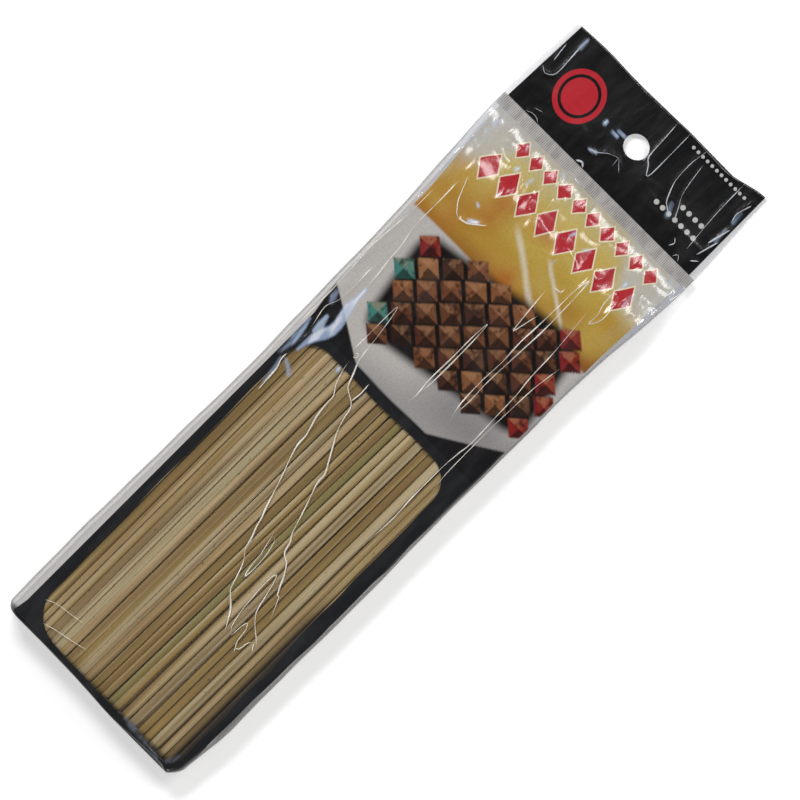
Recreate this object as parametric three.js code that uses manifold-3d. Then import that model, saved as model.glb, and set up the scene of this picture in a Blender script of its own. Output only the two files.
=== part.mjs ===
// Sealed film pack of bamboo skewers, lying on its back with the header towards +Y.
// Millimetres, +X to the right of the printed face, +Y to the header, +Z up.
import * as THREE from 'three';
import * as BufferGeometryUtils from 'three/addons/utils/BufferGeometryUtils.js';
import Module from 'manifold-3d';

const wasm = await Module();
wasm.setup();

// Skewers
const stickDiameter = 2.9;
const stickLength = 203.2;
const stickSides = 8;
const pointLength = 18;
const pointTipDiameter = 0.7;
const stagger = 1.1;
const sticksPerRow = 25;
const stickClearance = 0.05;

// Rows of skewers: three nested rows and a looser top row that leans a little
const rowGap = 0.08;
const fusedOverlap = 0.02;
const topRowGap = 0.13;
const topRowShift = 0.35;
const leanStep = 0.00095;
const leanMax = 0.012;

// Film bag
const filmWall = 0.3;
const filmClearance = 0.35;
const sideSlack = 2.1;
const sideSquareness = 4;
const sideRunShare = 0.72;
const endRadius = 1.2;
const cornerRadius = 4;
const pinchDepth = 1.2;
const pinchPlace = 108;
const pinchSpread = 24;

// Shoulder, heat seal and header
const shoulderLength = 22.6;
const tipDrop = 1.8;
const crumpleHeight = 0.5;
const crumpleWave = 13;
const sealBandLength = 4;
const sealThickness = 1.0;
const sealRibDepth = 0.2;
const sealRibs = 4;
const sealFlare = 3.1;
const sealHeight = 3.4;
const headerHeight = 33;
const headerThickness = 0.6;
const headerFlare = 2.0;
const headerRest = 0.7;
const headerWaveHeight = 0.35;
const headerWaveLength = 47;
const headerCornerRise = 2.4;
const headerCornerReach = 16;

// Openings
const hangHoleDiameter = 8.5;
const hangHoleDrop = 15.2;
const hangHoleSides = 24;
const ventDiameter = 5;
const ventSides = 12;
const ventFromStart = 60;
const cutterMargin = 3;

// Number of steps across the face and round each side
const ringAcross = 18;
const ringSide = 6;

// Colours
const filmColour = 0x1d1c1e;
const stickColour = 0xb09b70;
const innerStickColour = 0xa8925f;

// Places worked out from the sizes; Y runs from the folded end to the header
const rowPitch = stickDiameter + rowGap;
const topRowPitch = stickDiameter + topRowGap;
const fusedDiameter = rowPitch + fusedOverlap;
const rowRise = Math.SQRT2 * (fusedDiameter + stickClearance) - rowPitch / 2;
const ridgeRise = (fusedDiameter + stickDiameter) / 2 + stickClearance;
const bundleHeight = stickDiameter + 2 * rowRise + ridgeRise;
const bundleHalfWidth = ((sticksPerRow - 1) / 2 + 0.25) * rowPitch + stickDiameter / 2;
const outerHalfWidth = bundleHalfWidth + sideSlack + filmWall;
const outerHeight = bundleHeight + 2 * (filmClearance + filmWall);
const stickStart = filmWall + endRadius + filmClearance;
const bundleEnd = stickStart + stickLength + stagger;
const tipZoneStart = bundleEnd - pointLength;
const sealStart = bundleEnd + shoulderLength;
const sealEnd = sealStart + sealBandLength;
const totalLength = sealEnd + headerHeight;
const hangHoleY = totalLength - hangHoleDrop;
const middleY = (totalLength + headerCornerRise) / 2;

function ease(t) {
  return THREE.MathUtils.smoothstep(t, 0, 1);
}

function share(y, from, to) {
  return THREE.MathUtils.clamp((y - from) / (to - from), 0, 1);
}

// Inset of a rounded end or corner at a distance from its start
function roundInset(distance, radius) {
  const t = THREE.MathUtils.clamp(1 - distance / radius, 0, 1);
  return radius * (1 - Math.sqrt(1 - t * t));
}

// Height of the bag's outside along its length
function outsideHeight(y) {
  if (y >= sealEnd) {
    return headerThickness;
  }
  if (y >= sealStart) {
    const rib = 0.5 - 0.5 * Math.cos(2 * Math.PI * sealRibs * share(y, sealStart, sealEnd));
    return sealThickness - 2 * sealRibDepth * rib;
  }
  const overTips = outerHeight - tipDrop * share(y, tipZoneStart, bundleEnd);
  const fall = share(y, bundleEnd, sealStart);
  const body = THREE.MathUtils.lerp(overTips, sealThickness, (fall + ease(fall)) / 2);
  return body - 2 * roundInset(y, endRadius);
}

// Half width of the bag's outside on one side, -1 left or +1 right
function outsideHalfWidth(y, side) {
  const toSeal = ease(share(y, tipZoneStart - pointLength, sealStart));
  const toHeader = ease(share(y, sealEnd, totalLength));
  const flare = toSeal * THREE.MathUtils.lerp(sealFlare, headerFlare, toHeader);
  const pinch = side < 0 ? pinchDepth * Math.exp(-(((y - pinchPlace) / pinchSpread) ** 2)) : 0;
  return outerHalfWidth + flare - pinch - roundInset(y, cornerRadius);
}

// Height of the bag's middle: the back lies flat and the header droops to the table
function middleHeight(y) {
  const toSeal = ease(share(y, bundleEnd, sealStart));
  const atSeal = THREE.MathUtils.lerp(outerHeight / 2, sealHeight, toSeal);
  const droop = ease(share(y, sealEnd, totalLength));
  return THREE.MathUtils.lerp(atSeal, headerRest + headerThickness / 2, droop);
}

// Loose film: gathers on the shoulder, a slow wave over the header and one raised corner
function loosen(point, middle, radius) {
  const shoulder = Math.sin(Math.PI * share(point.y, bundleEnd, sealStart));
  const upper = THREE.MathUtils.clamp((point.z - middle) / radius, 0, 1);
  const gather = 0.5 + 0.5 * Math.sin((2 * Math.PI * point.x) / crumpleWave + 0.05 * point.y);
  const header = share(point.y, sealStart, totalLength);
  const wave = Math.sin((2 * Math.PI * point.x) / headerWaveLength + 0.6);
  const corner = ease((point.x - outerHalfWidth + headerCornerReach) / headerCornerReach);
  const rise = crumpleHeight * shoulder * upper * gather + headerWaveHeight * header * wave;
  return new THREE.Vector3(point.x, point.y + headerCornerRise * header * header * corner, point.z + rise);
}

// One closed ring round the bag, drawn in by an inset all round
function bagRing(y, inset) {
  const left = outsideHalfWidth(y, -1) - inset;
  const right = outsideHalfWidth(y, 1) - inset;
  const radius = outsideHeight(y) / 2 - inset;
  const middle = middleHeight(y);
  const run = sideRunShare * Math.max(radius, headerThickness);
  const ring = [];
  const flat = (i) => THREE.MathUtils.lerp(run - left, right - run, i / ringAcross);
  for (let i = 0; i <= ringAcross; i += 1) {
    ring.push(new THREE.Vector3(flat(i), y, middle - radius));
  }
  for (let i = 1; i < ringSide; i += 1) {
    const [across, up] = sidePoint(i);
    ring.push(new THREE.Vector3(right - run + run * across, y, middle + radius * up));
  }
  for (let i = ringAcross; i >= 0; i -= 1) {
    ring.push(new THREE.Vector3(flat(i), y, middle + radius));
  }
  for (let i = ringSide - 1; i > 0; i -= 1) {
    const [across, up] = sidePoint(i);
    ring.push(new THREE.Vector3(run - left - run * across, y, middle + radius * up));
  }
  return ring.map((point) => loosen(point, middle, radius));
}

// Squarish quarter rounds of the bag's side, from the back up to the face
function sidePoint(step) {
  const angle = (Math.PI * step) / ringSide - Math.PI / 2;
  const power = 2 / sideSquareness;
  const across = Math.cos(angle) ** power;
  const up = Math.sign(Math.sin(angle)) * Math.abs(Math.sin(angle)) ** power;
  return [across, up];
}

// Closed skin over a list of rings that have the same number of points
function skin(rings) {
  const count = rings[0].length;
  const index = [];
  for (let r = 0; r < rings.length - 1; r += 1) {
    for (let i = 0; i < count; i += 1) {
      const a = r * count + i;
      const b = r * count + ((i + 1) % count);
      index.push(a, a + count, b);
      index.push(b, a + count, b + count);
    }
  }
  index.push(...capFaces(rings[0], 0));
  index.push(...capFaces(rings[rings.length - 1], (rings.length - 1) * count).reverse());
  const geometry = new THREE.BufferGeometry();
  geometry.setFromPoints(rings.flat());
  geometry.setIndex(index);
  return geometry;
}

function capFaces(ring, base) {
  const contour = ring.map((point) => new THREE.Vector2(point.x, point.z));
  const faces = THREE.ShapeUtils.triangulateShape(contour, []);
  return faces.flat().map((corner) => base + corner);
}

function toSolid(geometry) {
  const bare = geometry.clone();
  bare.deleteAttribute('normal');
  bare.deleteAttribute('uv');
  const merged = BufferGeometryUtils.mergeVertices(bare, 1e-5);
  const vertProperties = new Float32Array(merged.attributes.position.array);
  const triVerts = new Uint32Array(merged.index.array);
  return new wasm.Manifold(new wasm.Mesh({ numProp: 3, vertProperties, triVerts }));
}

function toGeometry(solid) {
  const result = solid.getMesh();
  const geometry = new THREE.BufferGeometry();
  geometry.setAttribute('position', new THREE.BufferAttribute(result.vertProperties, 3));
  geometry.setIndex(new THREE.BufferAttribute(result.triVerts, 1));
  geometry.computeVertexNormals();
  return geometry;
}

// Upright round cutter
function roundCutter(diameter, sides, x, y, from, to) {
  const cutter = new THREE.CylinderGeometry(diameter / 2, diameter / 2, to - from, sides);
  cutter.rotateX(Math.PI / 2);
  cutter.translate(x, y, (from + to) / 2);
  return toSolid(cutter);
}

// Places along the bag where its outside has a ring
function outsideStations() {
  const stations = [0, 0.25, 0.6, 1].map((t) => t * endRadius);
  stations.push(cornerRadius / 2, cornerRadius);
  const bodySteps = 8;
  for (let i = 1; i <= bodySteps; i += 1) {
    stations.push(THREE.MathUtils.lerp(cornerRadius, tipZoneStart, i / bodySteps));
  }
  stations.push((tipZoneStart + bundleEnd) / 2, bundleEnd);
  const shoulderSteps = 5;
  for (let i = 1; i <= shoulderSteps; i += 1) {
    stations.push(THREE.MathUtils.lerp(bundleEnd, sealStart, i / shoulderSteps));
  }
  const ribSteps = 2 * sealRibs;
  for (let i = 1; i <= ribSteps; i += 1) {
    stations.push(THREE.MathUtils.lerp(sealStart, sealEnd, i / ribSteps));
  }
  const headerSteps = 6;
  for (let i = 1; i <= headerSteps; i += 1) {
    stations.push(THREE.MathUtils.lerp(sealEnd, totalLength, i / headerSteps));
  }
  return stations;
}

// Inside of the film: at the folded end it starts one wall further in
function insideRing(y) {
  const inward = filmWall * (1 - share(y, endRadius, cornerRadius));
  return bagRing(y, filmWall).map((point) => new THREE.Vector3(point.x, point.y + inward, point.z));
}

// Film bag: one blown tube of film, folded at the end and heat sealed under the header
function filmBag() {
  const stations = outsideStations();
  const outside = toSolid(skin(stations.map((y) => bagRing(y, 0))));
  const insideStations = stations.filter((y) => y < sealStart);
  const rings = insideStations.map((y) => insideRing(y));
  const inside = toSolid(skin(rings));
  const top = outerHeight + cutterMargin;
  const holeZ = middleHeight(hangHoleY);
  const hangHole = roundCutter(hangHoleDiameter, hangHoleSides, 0, hangHoleY, holeZ - cutterMargin, top);
  const vent = roundCutter(ventDiameter, ventSides, 0, ventFromStart, -cutterMargin, filmWall * 1.5);
  return toGeometry(outside.subtract(inside).subtract(hangHole).subtract(vent));
}

// One skewer along Y: a sawn blunt end and a turned point towards the header
function skewerGeometry(diameter) {
  const acrossCorners = diameter / Math.cos(Math.PI / stickSides);
  const profile = [
    new THREE.Vector2(0, 0),
    new THREE.Vector2(acrossCorners / 2, 0),
    new THREE.Vector2(acrossCorners / 2, stickLength - pointLength),
    new THREE.Vector2(pointTipDiameter / 2, stickLength),
    new THREE.Vector2(0, stickLength),
  ];
  const geometry = new THREE.LatheGeometry(profile, stickSides);
  geometry.rotateY(Math.PI / stickSides);
  return geometry;
}

function placeSkewer(geometry, x, z, lean, row, place) {
  const slide = stagger * (0.5 + 0.5 * Math.sin(2.4 * place + 1.7 * row));
  const middle = stickLength / 2;
  geometry.translate(0, -middle, 0);
  geometry.rotateZ(-lean);
  geometry.translate(x, stickStart + middle + slide, z);
  return geometry;
}

function rowX(place, pitch, shift) {
  return (place - (sticksPerRow - 1) / 2) * pitch + shift;
}

const bottomRowZ = filmWall + filmClearance + stickDiameter / 2;
const lowerRowZ = bottomRowZ + rowRise;
const upperRowZ = lowerRowZ + rowRise;
const topRowZ = upperRowZ + ridgeRise;
const nestShift = rowPitch / 4;

function addMesh(group, name, geometry, colour, roughness) {
  const material = new THREE.MeshStandardMaterial({ color: colour, roughness, metalness: 0 });
  material.name = name;
  const mesh = new THREE.Mesh(geometry, material);
  mesh.name = name;
  group.add(mesh);
}

// A row of separate skewers
function addRow(group, prefix, row, place) {
  for (let i = 0; i < sticksPerRow; i += 1) {
    const { x, z, lean } = place(i);
    const geometry = placeSkewer(skewerGeometry(stickDiameter), x, z, lean, row, i);
    const number = String(i + 1).padStart(2, '0');
    addMesh(group, `${prefix}_${number}`, geometry, stickColour, 0.7);
  }
}

// A hidden row, its skewers joined side by side
function joinedRow(row, shift, z) {
  let joined = null;
  for (let i = 0; i < sticksPerRow; i += 1) {
    const geometry = skewerGeometry(fusedDiameter);
    const solid = toSolid(placeSkewer(geometry, rowX(i, rowPitch, shift), z, 0, row, i));
    joined = joined ? joined.add(solid) : solid;
  }
  return toGeometry(joined);
}

function bottomPlace(i) {
  return { x: rowX(i, rowPitch, nestShift), z: bottomRowZ, lean: 0 };
}

function topPlace(i) {
  return { x: rowX(i, topRowPitch, topRowShift), z: topRowZ, lean: Math.min(i * leanStep, leanMax) };
}

const pack = new THREE.Group();
pack.name = 'skewer_pack';
addMesh(pack, 'film_bag', filmBag(), filmColour, 0.35);
addRow(pack, 'bottom_skewer', 0, bottomPlace);
addMesh(pack, 'lower_middle_skewers', joinedRow(1, -nestShift, lowerRowZ), innerStickColour, 0.7);
addMesh(pack, 'upper_middle_skewers', joinedRow(2, nestShift, upperRowZ), innerStickColour, 0.7);
addRow(pack, 'top_skewer', 3, topPlace);
pack.position.y = -middleY;

export default pack;
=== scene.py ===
import math

import bmesh
import bpy
import numpy as np
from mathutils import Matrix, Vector
from mathutils.bvhtree import BVHTree


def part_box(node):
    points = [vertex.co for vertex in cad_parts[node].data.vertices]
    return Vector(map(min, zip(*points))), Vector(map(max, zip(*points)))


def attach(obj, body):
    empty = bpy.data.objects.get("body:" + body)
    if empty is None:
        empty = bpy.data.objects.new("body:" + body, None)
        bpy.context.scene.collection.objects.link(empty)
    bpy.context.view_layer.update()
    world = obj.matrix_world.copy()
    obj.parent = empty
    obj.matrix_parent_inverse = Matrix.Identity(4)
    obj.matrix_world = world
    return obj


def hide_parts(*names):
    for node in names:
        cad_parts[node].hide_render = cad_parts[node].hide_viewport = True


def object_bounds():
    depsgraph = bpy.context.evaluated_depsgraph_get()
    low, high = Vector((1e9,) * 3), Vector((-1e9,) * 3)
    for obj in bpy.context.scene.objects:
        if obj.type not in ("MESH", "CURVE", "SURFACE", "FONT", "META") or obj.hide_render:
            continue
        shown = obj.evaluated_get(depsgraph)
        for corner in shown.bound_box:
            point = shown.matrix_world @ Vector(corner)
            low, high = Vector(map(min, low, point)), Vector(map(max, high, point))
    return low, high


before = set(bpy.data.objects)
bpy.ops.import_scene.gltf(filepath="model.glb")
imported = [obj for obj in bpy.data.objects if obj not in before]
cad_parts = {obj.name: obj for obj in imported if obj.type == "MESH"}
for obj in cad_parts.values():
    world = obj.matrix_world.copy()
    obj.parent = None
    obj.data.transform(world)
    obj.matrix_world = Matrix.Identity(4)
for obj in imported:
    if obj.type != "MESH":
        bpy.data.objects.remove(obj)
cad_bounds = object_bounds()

# Top row of skewers: machine-split bamboo rods, sawn off blunt at the folded end of the
# pack and turned to a point at the header's end. They lie loose on the rows below and
# lean a little to the right towards their points.
MM = 0.001
SKEWER_LENGTH = 203.2
POINT_LENGTH = 18.0
POINT_TIP = 0.35
SAWN_CHAMFER = 0.12
MOST_BOW = 0.15
MOST_SAG = 0.06
SKEWER_SIDES = 24


def linear(hex_colour):
    """An sRGB hex colour as linear red, green, blue and a full alpha."""
    parts = [int(hex_colour[i:i + 2], 16) / 255 for i in (1, 3, 5)]
    return [p / 12.92 if p <= 0.04045 else ((p + 0.055) / 1.055) ** 2.4 for p in parts] + [1.0]


def add(tree, kind, inputs=None, **settings):
    """A node with its settings, and its inputs as numbers or as links from other nodes."""
    node = tree.nodes.new(kind)
    for key, value in settings.items():
        setattr(node, key, value)
    for key, value in (inputs or {}).items():
        if isinstance(value, bpy.types.NodeSocket):
            tree.links.new(value, node.inputs[key])
        else:
            node.inputs[key].default_value = value
    return node


def new_material(name):
    """A material with an empty node tree."""
    material = bpy.data.materials.new(name)
    material.use_nodes = True
    material.node_tree.nodes.clear()
    return material


# Raw bamboo, split and turned, not varnished: straight fibres that show as fine streaks
# along the rod, a dull sheen, pale pith or green skin left on some rods.
bamboo = new_material("raw_split_bamboo")
tree = bamboo.node_tree
grain = add(tree, "ShaderNodeAttribute", attribute_name="grain").outputs["Vector"]
tone = add(tree, "ShaderNodeAttribute", attribute_name="rod_tone").outputs["Fac"]
skin = add(tree, "ShaderNodeAttribute", attribute_name="rod_skin").outputs["Fac"]
# Fibre bundles about 0.25 mm wide and 30 mm long
fibre_place = add(tree, "ShaderNodeMapping", {"Vector": grain, "Scale": (4.0, 0.035, 4.0)})
fibre = add(tree, "ShaderNodeTexNoise", {"Vector": fibre_place.outputs[0], "Scale": 1.0, "Detail": 3.0})
# Slow drift of tone along and between rods, about 40 mm long
drift_place = add(tree, "ShaderNodeMapping", {"Vector": grain, "Scale": (0.5, 0.025, 0.5)})
drift = add(tree, "ShaderNodeTexNoise", {"Vector": drift_place.outputs[0], "Scale": 1.0, "Detail": 2.0})
tone_mix = add(tree, "ShaderNodeMath", {0: drift.outputs["Fac"], 1: 0.55, 2: tone}, operation="MULTIPLY_ADD")
tone_ramp = add(tree, "ShaderNodeMapRange", {"Value": tone_mix.outputs[0], "From Min": 0.25, "From Max": 1.3})
body_ramp = add(tree, "ShaderNodeValToRGB", {"Fac": tone_ramp.outputs[0]})
ramp = body_ramp.color_ramp
ramp.elements[0].color = linear("#8E7644")
ramp.elements[1].color = linear("#DCCBA4")
for position, colour in ((0.18, "#A98D50"), (0.36, "#B69A62"), (0.52, "#C6AE7C"), (0.68, "#BC9C6A"),
                         (0.84, "#D2BD92")):
    ramp.elements.new(position).color = linear(colour)
streak_strength = add(tree, "ShaderNodeMapRange", {"Value": fibre.outputs["Fac"], "From Min": 0.4,
                                                   "From Max": 0.75, "To Min": 0.0, "To Max": 0.5})
streaked = add(tree, "ShaderNodeMix", {0: streak_strength.outputs[0], 6: body_ramp.outputs[0],
                                       7: linear("#7A6132")}, data_type="RGBA")
# Darker and paler bands of about 1 to 2 mm, where the split crosses bundles of fibre
band_place = add(tree, "ShaderNodeMapping", {"Vector": grain, "Scale": (0.42, 0.006, 0.42)})
band = add(tree, "ShaderNodeTexNoise", {"Vector": band_place.outputs[0], "Scale": 1.0, "Detail": 1.5})
dark_band = add(tree, "ShaderNodeMapRange", {"Value": band.outputs["Fac"], "From Min": 0.5, "From Max": 0.66,
                                             "To Max": 0.7})
streaked = add(tree, "ShaderNodeMix", {0: dark_band.outputs[0], 6: streaked.outputs[2],
                                       7: linear("#7E6030")}, data_type="RGBA")
pale_band = add(tree, "ShaderNodeMapRange", {"Value": band.outputs["Fac"], "From Min": 0.47, "From Max": 0.33,
                                             "To Max": 0.6})
streaked = add(tree, "ShaderNodeMix", {0: pale_band.outputs[0], 6: streaked.outputs[2],
                                       7: linear("#DCCCA6")}, data_type="RGBA")
skin_patch = add(tree, "ShaderNodeMapRange", {"Value": drift.outputs["Fac"], "From Min": 0.3, "From Max": 0.6,
                                              "To Min": 0.55, "To Max": 1.0})
skin_amount = add(tree, "ShaderNodeMath", {0: skin, 1: skin_patch.outputs[0]}, operation="MULTIPLY")
skinned = add(tree, "ShaderNodeMix", {0: skin_amount.outputs[0], 6: streaked.outputs[2],
                                      7: linear("#87834C")}, data_type="RGBA")
# Small dark specks of about 0.3 mm where vessels were cut
speck_place = add(tree, "ShaderNodeMapping", {"Vector": grain, "Scale": (1.3, 0.35, 1.3)})
speck = add(tree, "ShaderNodeTexNoise", {"Vector": speck_place.outputs[0], "Scale": 1.0, "Detail": 1.0})
speck_mask = add(tree, "ShaderNodeMapRange", {"Value": speck.outputs["Fac"], "From Min": 0.74,
                                              "From Max": 0.78, "To Max": 0.7})
specked = add(tree, "ShaderNodeMix", {0: speck_mask.outputs[0], 6: skinned.outputs[2],
                                      7: linear("#5A4428")}, data_type="RGBA")
roughness = add(tree, "ShaderNodeMapRange", {"Value": fibre.outputs["Fac"], "To Min": 0.5, "To Max": 0.7})
relief = add(tree, "ShaderNodeBump", {"Height": fibre.outputs["Fac"], "Strength": 0.35, "Distance": 0.00008})
shader = add(tree, "ShaderNodeBsdfPrincipled", {"Base Color": specked.outputs[2], "IOR": 1.45,
                                                "Roughness": roughness.outputs[0],
                                                "Normal": relief.outputs[0]})
add(tree, "ShaderNodeOutputMaterial", {"Surface": shader.outputs[0]})


def keep_on(mesh, name, values, kind="FLOAT", field="value"):
    """Stores a value at each point of a mesh, for a material to read."""
    mesh.attributes.new(name, kind, "POINT").data.foreach_set(field, np.ravel(values))


def rod_stations():
    """Places along a rod: its chamfered sawn end, its shaft, then closer ones in its point."""
    shaft = np.linspace(0.0, SKEWER_LENGTH - POINT_LENGTH, 26)
    point = SKEWER_LENGTH - POINT_LENGTH * np.array([0.93, 0.8, 0.6, 0.4, 0.2, 0.08, 0.0])
    return np.concatenate([[0.0, SAWN_CHAMFER], shaft[1:], point])


def rod_points(rng, width):
    """Points of one rod along +Y about its own axis: a rounded square, a little bowed and sagging."""
    y = rod_stations()
    angle = np.arange(SKEWER_SIDES) * 2 * math.pi / SKEWER_SIDES
    squareness = rng.uniform(3.2, 6.5)
    roll = 0.4 * rng.uniform(-1, 1) ** 3
    flatness = np.abs(np.cos(angle)) ** squareness + np.abs(np.sin(angle)) ** squareness
    corner = flatness ** (-1 / squareness)
    radius = np.full(len(y), width / 2)
    radius[0] -= 0.1
    taper = np.clip((SKEWER_LENGTH - y) / POINT_LENGTH, 0, 1)
    radius = np.where(taper < 1, POINT_TIP + (width / 2 - POINT_TIP) * taper ** 0.85, radius)
    radius *= 1 + 0.012 * np.sin(y / 17.0 + rng.uniform(0, 6))
    bow = rng.uniform(-MOST_BOW, MOST_BOW) * np.sin(math.pi * y / SKEWER_LENGTH)
    sag = -MOST_SAG * rng.uniform(0, 1) * np.sin(math.pi * y / SKEWER_LENGTH)
    x = radius[:, None] * (corner * np.cos(angle + roll))[None, :] + bow[:, None]
    z = radius[:, None] * (corner * np.sin(angle + roll))[None, :] + sag[:, None]
    return np.stack([x, np.repeat(y[:, None], SKEWER_SIDES, 1), z], axis=2)


def rod_faces(ring_count):
    """Faces of a rod: its sawn end, the skin between its rings and its blunt tip."""
    faces = [tuple(range(SKEWER_SIDES))]
    for r in range(ring_count - 1):
        for i in range(SKEWER_SIDES):
            j = (i + 1) % SKEWER_SIDES
            a = r * SKEWER_SIDES
            faces.append((a + i, a + SKEWER_SIDES + i, a + SKEWER_SIDES + j, a + j))
    last = (ring_count - 1) * SKEWER_SIDES
    faces.append(tuple(last + i for i in reversed(range(SKEWER_SIDES))))
    return faces


def rod_object(name, rng, width, x, y, z, lean, skin_left=0.0):
    """One rod with its sawn end at y, turned by lean about its middle, in millimetres and radians."""
    points = rod_points(rng, width)
    local = points.reshape(-1, 3)
    half = SKEWER_LENGTH / 2
    along = local[:, 1] - half
    world = np.empty_like(local)
    world[:, 0] = x + local[:, 0] * math.cos(lean) + along * math.sin(lean)
    world[:, 1] = y + half + along * math.cos(lean) - local[:, 0] * math.sin(lean)
    world[:, 2] = z + local[:, 2]
    mesh = bpy.data.meshes.new(name)
    mesh.from_pydata((world * MM).tolist(), [], rod_faces(len(points)))
    mesh.polygons.foreach_set("use_smooth", [True] * len(mesh.polygons))
    mesh.polygons[0].use_smooth = False
    keep_on(mesh, "grain", local + rng.uniform(-900, 900, 3)[None, :], "FLOAT_VECTOR", "vector")
    keep_on(mesh, "rod_tone", np.full(len(local), rng.uniform(0.0, 1.0)))
    keep_on(mesh, "rod_skin", np.full(len(local), skin_left))
    mesh.materials.append(bamboo)
    piece = bpy.data.objects.new(name, mesh)
    bpy.context.scene.collection.objects.link(piece)
    return piece


def node_middle(node):
    """Middle of a CAD node's box, in millimetres."""
    low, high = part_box(node)
    return [(a + b) / 2 / MM for a, b in zip(low, high)]


RODS = 25
LOOSE_LEAN = 0.003
SAWN_END = cad_bounds[0][1] / MM + 1.0
# The rods lie closer than the CAD's even row, by this share of its breadth
TOP_ROW_SHARE = 0.958
# Split rods differ in width, and most touch the next one; the middle ones fan out to the right
rng = np.random.default_rng(299)
widths = rng.choice([2.35, 2.6, 2.8, 2.95, 3.2], RODS) + rng.uniform(-0.1, 0.1, RODS)
centres = np.cumsum(widths + rng.uniform(0.0, 1.0, RODS) ** 5 * 0.8) - widths / 2
leans = np.interp(np.arange(RODS), [0, 4, 8, 12, 16, 19, 24], [0.0, 0.002, 0.012, 0.021, 0.025, 0.013, 0.001])
# Share of green skin left on a few rods, counted from the left
SKIN_LEFT = {6: 0.3, 15: 0.75, 21: 0.2}
centres = (centres - centres[0]) / (centres[-1] - centres[0]) - 0.5
row_start, row_end = node_middle("top_skewer_01")[0], node_middle("top_skewer_25")[0]
centres = (row_start + row_end) / 2 + centres * (row_end - row_start) * TOP_ROW_SHARE
for i in range(RODS):
    node = "top_skewer_%02d" % (i + 1)
    middle = node_middle(node)
    rng = np.random.default_rng(650 + i)
    lean = leans[i] + rng.uniform(-LOOSE_LEAN, LOOSE_LEAN)
    sink = rng.uniform(-0.45, 0.05)
    rod = rod_object("top_rod_%02d" % (i + 1), rng, widths[i], centres[i],
                     min(middle[1] - SKEWER_LENGTH / 2, SAWN_END), middle[2] + sink, lean,
                     SKIN_LEFT.get(i, 0.0))
    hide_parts(node)
    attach(rod, "root")

# Bottom row of skewers: the same rods, lying straight on the back of the bag, where they
# show through its clear film.
BOTTOM_ROW_SHARE = 0.978
for i in range(RODS):
    node = "bottom_skewer_%02d" % (i + 1)
    middle = node_middle(node)
    rng = np.random.default_rng(700 + i)
    rod = rod_object("bottom_rod_%02d" % (i + 1), rng, rng.uniform(2.4, 2.75), middle[0] * BOTTOM_ROW_SHARE,
                     middle[1] - SKEWER_LENGTH / 2, middle[2], 0.0)
    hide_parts(node)
    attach(rod, "root")

# Two inner rows of skewers: like rods side by side, nested in the grooves of the row
# below. Only their edges can be seen, so each row is one piece.
row_tree = bpy.data.node_groups.new("row_of_rods", "GeometryNodeTree")
row_tree.interface.new_socket("Geometry", in_out="OUTPUT", socket_type="NodeSocketGeometry")
row_tree.interface.new_socket("Rod", in_out="INPUT", socket_type="NodeSocketGeometry")
row_inputs = {}
for label, socket_type in (("Rods", "NodeSocketInt"), ("Pitch", "NodeSocketFloat"),
                           ("First", "NodeSocketVector"), ("Slide", "NodeSocketFloat"),
                           ("Seed", "NodeSocketInt")):
    row_inputs[label] = row_tree.interface.new_socket(label, in_out="INPUT", socket_type=socket_type)
entry = add(row_tree, "NodeGroupInput").outputs
step = add(row_tree, "ShaderNodeCombineXYZ", {"X": entry["Pitch"]})
line = add(row_tree, "GeometryNodeMeshLine", {"Count": entry["Rods"], "Start Location": entry["First"],
                                              "Offset": step.outputs[0]}, mode="OFFSET")
slide_low = add(row_tree, "ShaderNodeMath", {0: entry["Slide"], 1: -1.0}, operation="MULTIPLY")
slide = add(row_tree, "FunctionNodeRandomValue", {2: slide_low.outputs[0], 3: entry["Slide"],
                                                  "Seed": entry["Seed"]}, data_type="FLOAT")
shift = add(row_tree, "ShaderNodeCombineXYZ", {"Y": slide.outputs[1]})
slid = add(row_tree, "GeometryNodeSetPosition", {"Geometry": line.outputs[0], "Offset": shift.outputs[0]})
turn = add(row_tree, "FunctionNodeRandomValue", {2: 0.0, 3: 6.28, "Seed": entry["Seed"]}, data_type="FLOAT")
turned = add(row_tree, "ShaderNodeCombineXYZ", {"Y": turn.outputs[1]})
placed = add(row_tree, "GeometryNodeInstanceOnPoints", {"Points": slid.outputs[0], "Instance": entry["Rod"],
                                                        "Rotation": turned.outputs[0]})
rod_tones = add(row_tree, "FunctionNodeRandomValue", {2: 0.0, 3: 1.0, "Seed": entry["Seed"]},
                data_type="FLOAT")
toned = add(row_tree, "GeometryNodeStoreNamedAttribute", {"Geometry": placed.outputs[0], "Name": "rod_tone",
                                                          "Value": rod_tones.outputs[1]},
            data_type="FLOAT", domain="INSTANCE")
real = add(row_tree, "GeometryNodeRealizeInstances", {"Geometry": toned.outputs[0]})
finished = add(row_tree, "GeometryNodeSetMaterial", {"Geometry": real.outputs[0], "Material": bamboo})
add(row_tree, "NodeGroupOutput", {0: finished.outputs[0]})

INNER_ROD_WIDTH = 2.6
INNER_ROW_SHARE = 0.96
INNER_SLIDE = 0.4
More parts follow.
